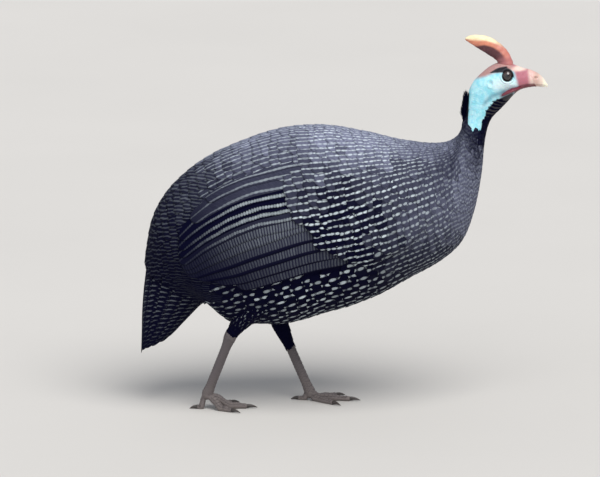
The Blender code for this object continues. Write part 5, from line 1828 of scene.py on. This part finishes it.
    def claw(self, toe: Toe, limb: Limb, way: Array, finish: bpy.types.Material) -> bpy.types.Object:
        """One claw, curved down to just above the ground."""
        reach = 11.0 * (0.7 if toe.word == "hind" else 1.0)
        runs = np.array([-0.14, 0.1, 0.35, 0.6, 0.82, 1.0])
        rises = np.array([-0.1, 0.35, 0.5, 0.1, -0.55, -1.2])
        sizes = 2.1 * np.array([0.95, 0.95, 0.78, 0.56, 0.34, 0.1])
        tip = limb.centres[-1]
        centres = tip + way * (runs * reach)[:, None] + np.array([0.0, 0.0, 1.0]) * rises[:, None]
        centres[:, 2] = np.maximum(centres[:, 2], sizes + 0.15 - SHIFT[2])
        shape = Limb(centres, np.stack([sizes, 0.78 * sizes], -1))
        s, angle = np.meshgrid(np.linspace(0, 1, 30), np.arange(24) * 15.0, indexing="ij")
        ridge = 0.2 * np.exp(-((np.minimum(angle, 360 - angle) / 26.0) ** 2)) * (1 - s)
        rings = shape.point(s, angle, ridge)
        name = f"{self.place.side.word}_{toe.word}"
        made = new_mesh(f"horn_claw_{name}", tube_points(rings), tube_faces(30, 24), finish)
        top = (1 + np.cos(np.radians(angle))) / 2
        values = np.stack([0.25 + 0.5 * s * top, 0.5 * (1 - smooth(s, 0.0, 0.3)), s * 11.0], -1).reshape(-1, 3)
        keep_vectors(made.data, horn=np.concatenate([values, values[:1], values[-1:]]))
        return place_piece(made, "claw", f"claw_{name}")


@dataclass(frozen=True)
class LegFinish:
    """Grey scaly skin: of the scutes, or of the fine scales between them."""

    name: str
    scaly: bool
    grey: Colour = (0.125, 0.106, 0.110)
    dark: Colour = (0.036, 0.031, 0.035)
    dust: Colour = (0.23, 0.19, 0.165)
    rough: float = 0.6

    def material(self, effects: Effects) -> bpy.types.Material:
        """Builds the finish."""
        made, g, shader = new_material(self.name, self.rough)
        place = g.place()
        pores = use_group(g, effects.pores, {"Place": place, "Grain": 650.0 if self.scaly else 2200.0})
        colour = g.mix(g.step(pores.outputs["Height"], 0.35, 0.85), self.dark, self.grey)
        height = g.parts(place)[2]
        dusty = g.math("MULTIPLY", g.math("SUBTRACT", 1.0, g.step(height, 0.004, 0.045)), 0.6)
        colour = g.mix(g.math("MULTIPLY", dusty, pores.outputs["Patch"]), colour, self.dust)
        if not self.scaly:
            across, along, _ = g.parts(g.attribute("vane").outputs["Vector"])
            edge = g.math("MAXIMUM", g.step(g.math("ABSOLUTE", across), 0.7, 1.0),
                          g.math("SUBTRACT", 1.0, g.step(along, 0.02, 0.2)))
            colour = g.mix(g.math("MULTIPLY", edge, 0.7), colour, self.dark)
        g.plug(shader.inputs["Base Color"], colour)
        bump = g.add("Bump", {"Height": pores.outputs["Height"], "Strength": 0.7, "Distance": 0.0004})
        g.plug(shader.inputs["Normal"], bump.outputs[0])
        return made


@dataclass
class Studio:
    """The camera at the photograph's angle, the pale floor and the soft lights."""

    elevation: float = 12.0
    lens: float = 320.0
    frame_width: float = 0.618
    look_at: tuple[float, float, float] = (-0.0442, 0.0, 0.1755)
    floor_colour: Colour = (0.62, 0.60, 0.57)

    def build(self) -> None:
        """Sets up the whole studio."""
        self.camera()
        self.floor()
        self.lights()

    def camera(self) -> None:
        """The camera, level with a standing person far off, with a long lens."""
        data = bpy.data.cameras.new("camera")
        data.lens = self.lens
        data.sensor_width = 36.0
        distance = self.frame_width * data.lens / data.sensor_width
        data.clip_end = distance * 4
        made = bpy.data.objects.new("camera", data)
        angle = math.radians(self.elevation)
        back = Vector((0.0, -math.cos(angle), math.sin(angle)))
        made.location = Vector(self.look_at) + back * distance
        made.rotation_euler = (-back).to_track_quat("-Z", "Y").to_euler()
        bpy.context.scene.collection.objects.link(made)
        bpy.context.scene.camera = made

    def floor(self) -> None:
        """A plain pale flat floor."""
        mesh = bpy.data.meshes.new("floor")
        size = 6.0
        mesh.from_pydata([(-size, -size, 0), (size, -size, 0), (size, size, 0), (-size, size, 0)], [], [(0, 1, 2, 3)])
        made = bpy.data.objects.new("floor", mesh)
        material, g, shader = new_material("floor", 0.9)
        grain = g.noise(g.place(), 3.0)
        darker = tuple(c * 0.94 for c in self.floor_colour)
        g.plug(shader.inputs["Base Color"], g.mix(grain, self.floor_colour, darker))
        mesh.materials.append(material)
        bpy.context.scene.collection.objects.link(made)

    def lights(self) -> None:
        """A broad soft sun from above, a softer one from the front, and a pale surround."""
        for name, turn, height, angle, power, colour in (
                ("key", 28.0, 58.0, 44.0, 2.9, (1.0, 0.985, 0.96)),
                ("fill", -38.0, 24.0, 70.0, 0.5, (0.93, 0.96, 1.0))):
            data = bpy.data.lights.new(name, "SUN")
            data.angle = math.radians(angle)
            data.energy = power
            data.color = colour
            made = bpy.data.objects.new(name, data)
            flat, up = math.radians(turn), math.radians(height)
            source = Vector((math.sin(flat) * math.cos(up), -math.cos(flat) * math.cos(up), math.sin(up)))
            made.rotation_euler = source.to_track_quat("Z", "Y").to_euler()
            bpy.context.scene.collection.objects.link(made)
        world = bpy.data.worlds.new("surround")
        world.use_nodes = True
        background = world.node_tree.nodes["Background"]
        background.inputs["Color"].default_value = (0.78, 0.82, 0.90, 1.0)
        background.inputs["Strength"].default_value = 0.5
        bpy.context.scene.world = world
        bpy.context.scene.view_settings.view_transform = "Standard"


def build_head(effects: Effects) -> None:
    """Builds the casque, bill, wattles and eyes."""
    # The casque's pale top is a painted highlight, and its dark underside is partly its own maroon and partly painted
    # shade.
    Casque().build(HornFinish("casque_horn", (0.10, 0.028, 0.034), (0.70, 0.25, 0.15), (0.90, 0.77, 0.48),
                              (0.46, 0.16, 0.165), edges=(-0.30, 0.25, 0.70, 1.25)).material(effects))
    Bill().build(HornFinish("bill_horn", (0.62, 0.41, 0.35), (0.76, 0.60, 0.51), (0.96, 0.88, 0.70),
                            (0.74, 0.46, 0.42), rough=0.3).material(effects))
    Wattles().build(WattleFinish().material(effects))
    Eyes().build(EyeFinish().material(effects))
    LOG.info("head: casque, bill, wattles and eyes")


def build_legs(effects: Effects) -> None:
    """Builds both bare legs with their claws."""
    skin = LegFinish("leg_skin", True).material(effects)
    scutes = LegFinish("leg_scutes", False).material(effects)
    claws = HornFinish("claw_horn", (0.02, 0.016, 0.014), (0.05, 0.04, 0.036), (0.16, 0.13, 0.11),
                       (0.012, 0.01, 0.01)).material(effects)
    for place in LEG_PLACES:
        BareLeg(place).build(skin, scutes, claws)
    LOG.info("legs: shanks, feet, scutes and claws")


def main() -> None:
    """Builds the bird and the studio."""
    logging.basicConfig(level=logging.INFO, format="%(message)s")
    effects = Effects()
    plumage = PlumageFinish().material(effects)
    BirdSkin().build(SkinFinish().material(effects))
    BodyFeathers().build(plumage)
    FlightFeathers().build(plumage)
    TailFeathers().build(plumage)
    ThighFeathers().build(plumage)
    NapePlumes().build(plumage)
    build_head(effects)
    build_legs(effects)
    Studio().build()


if __name__ == "__main__":
    main()
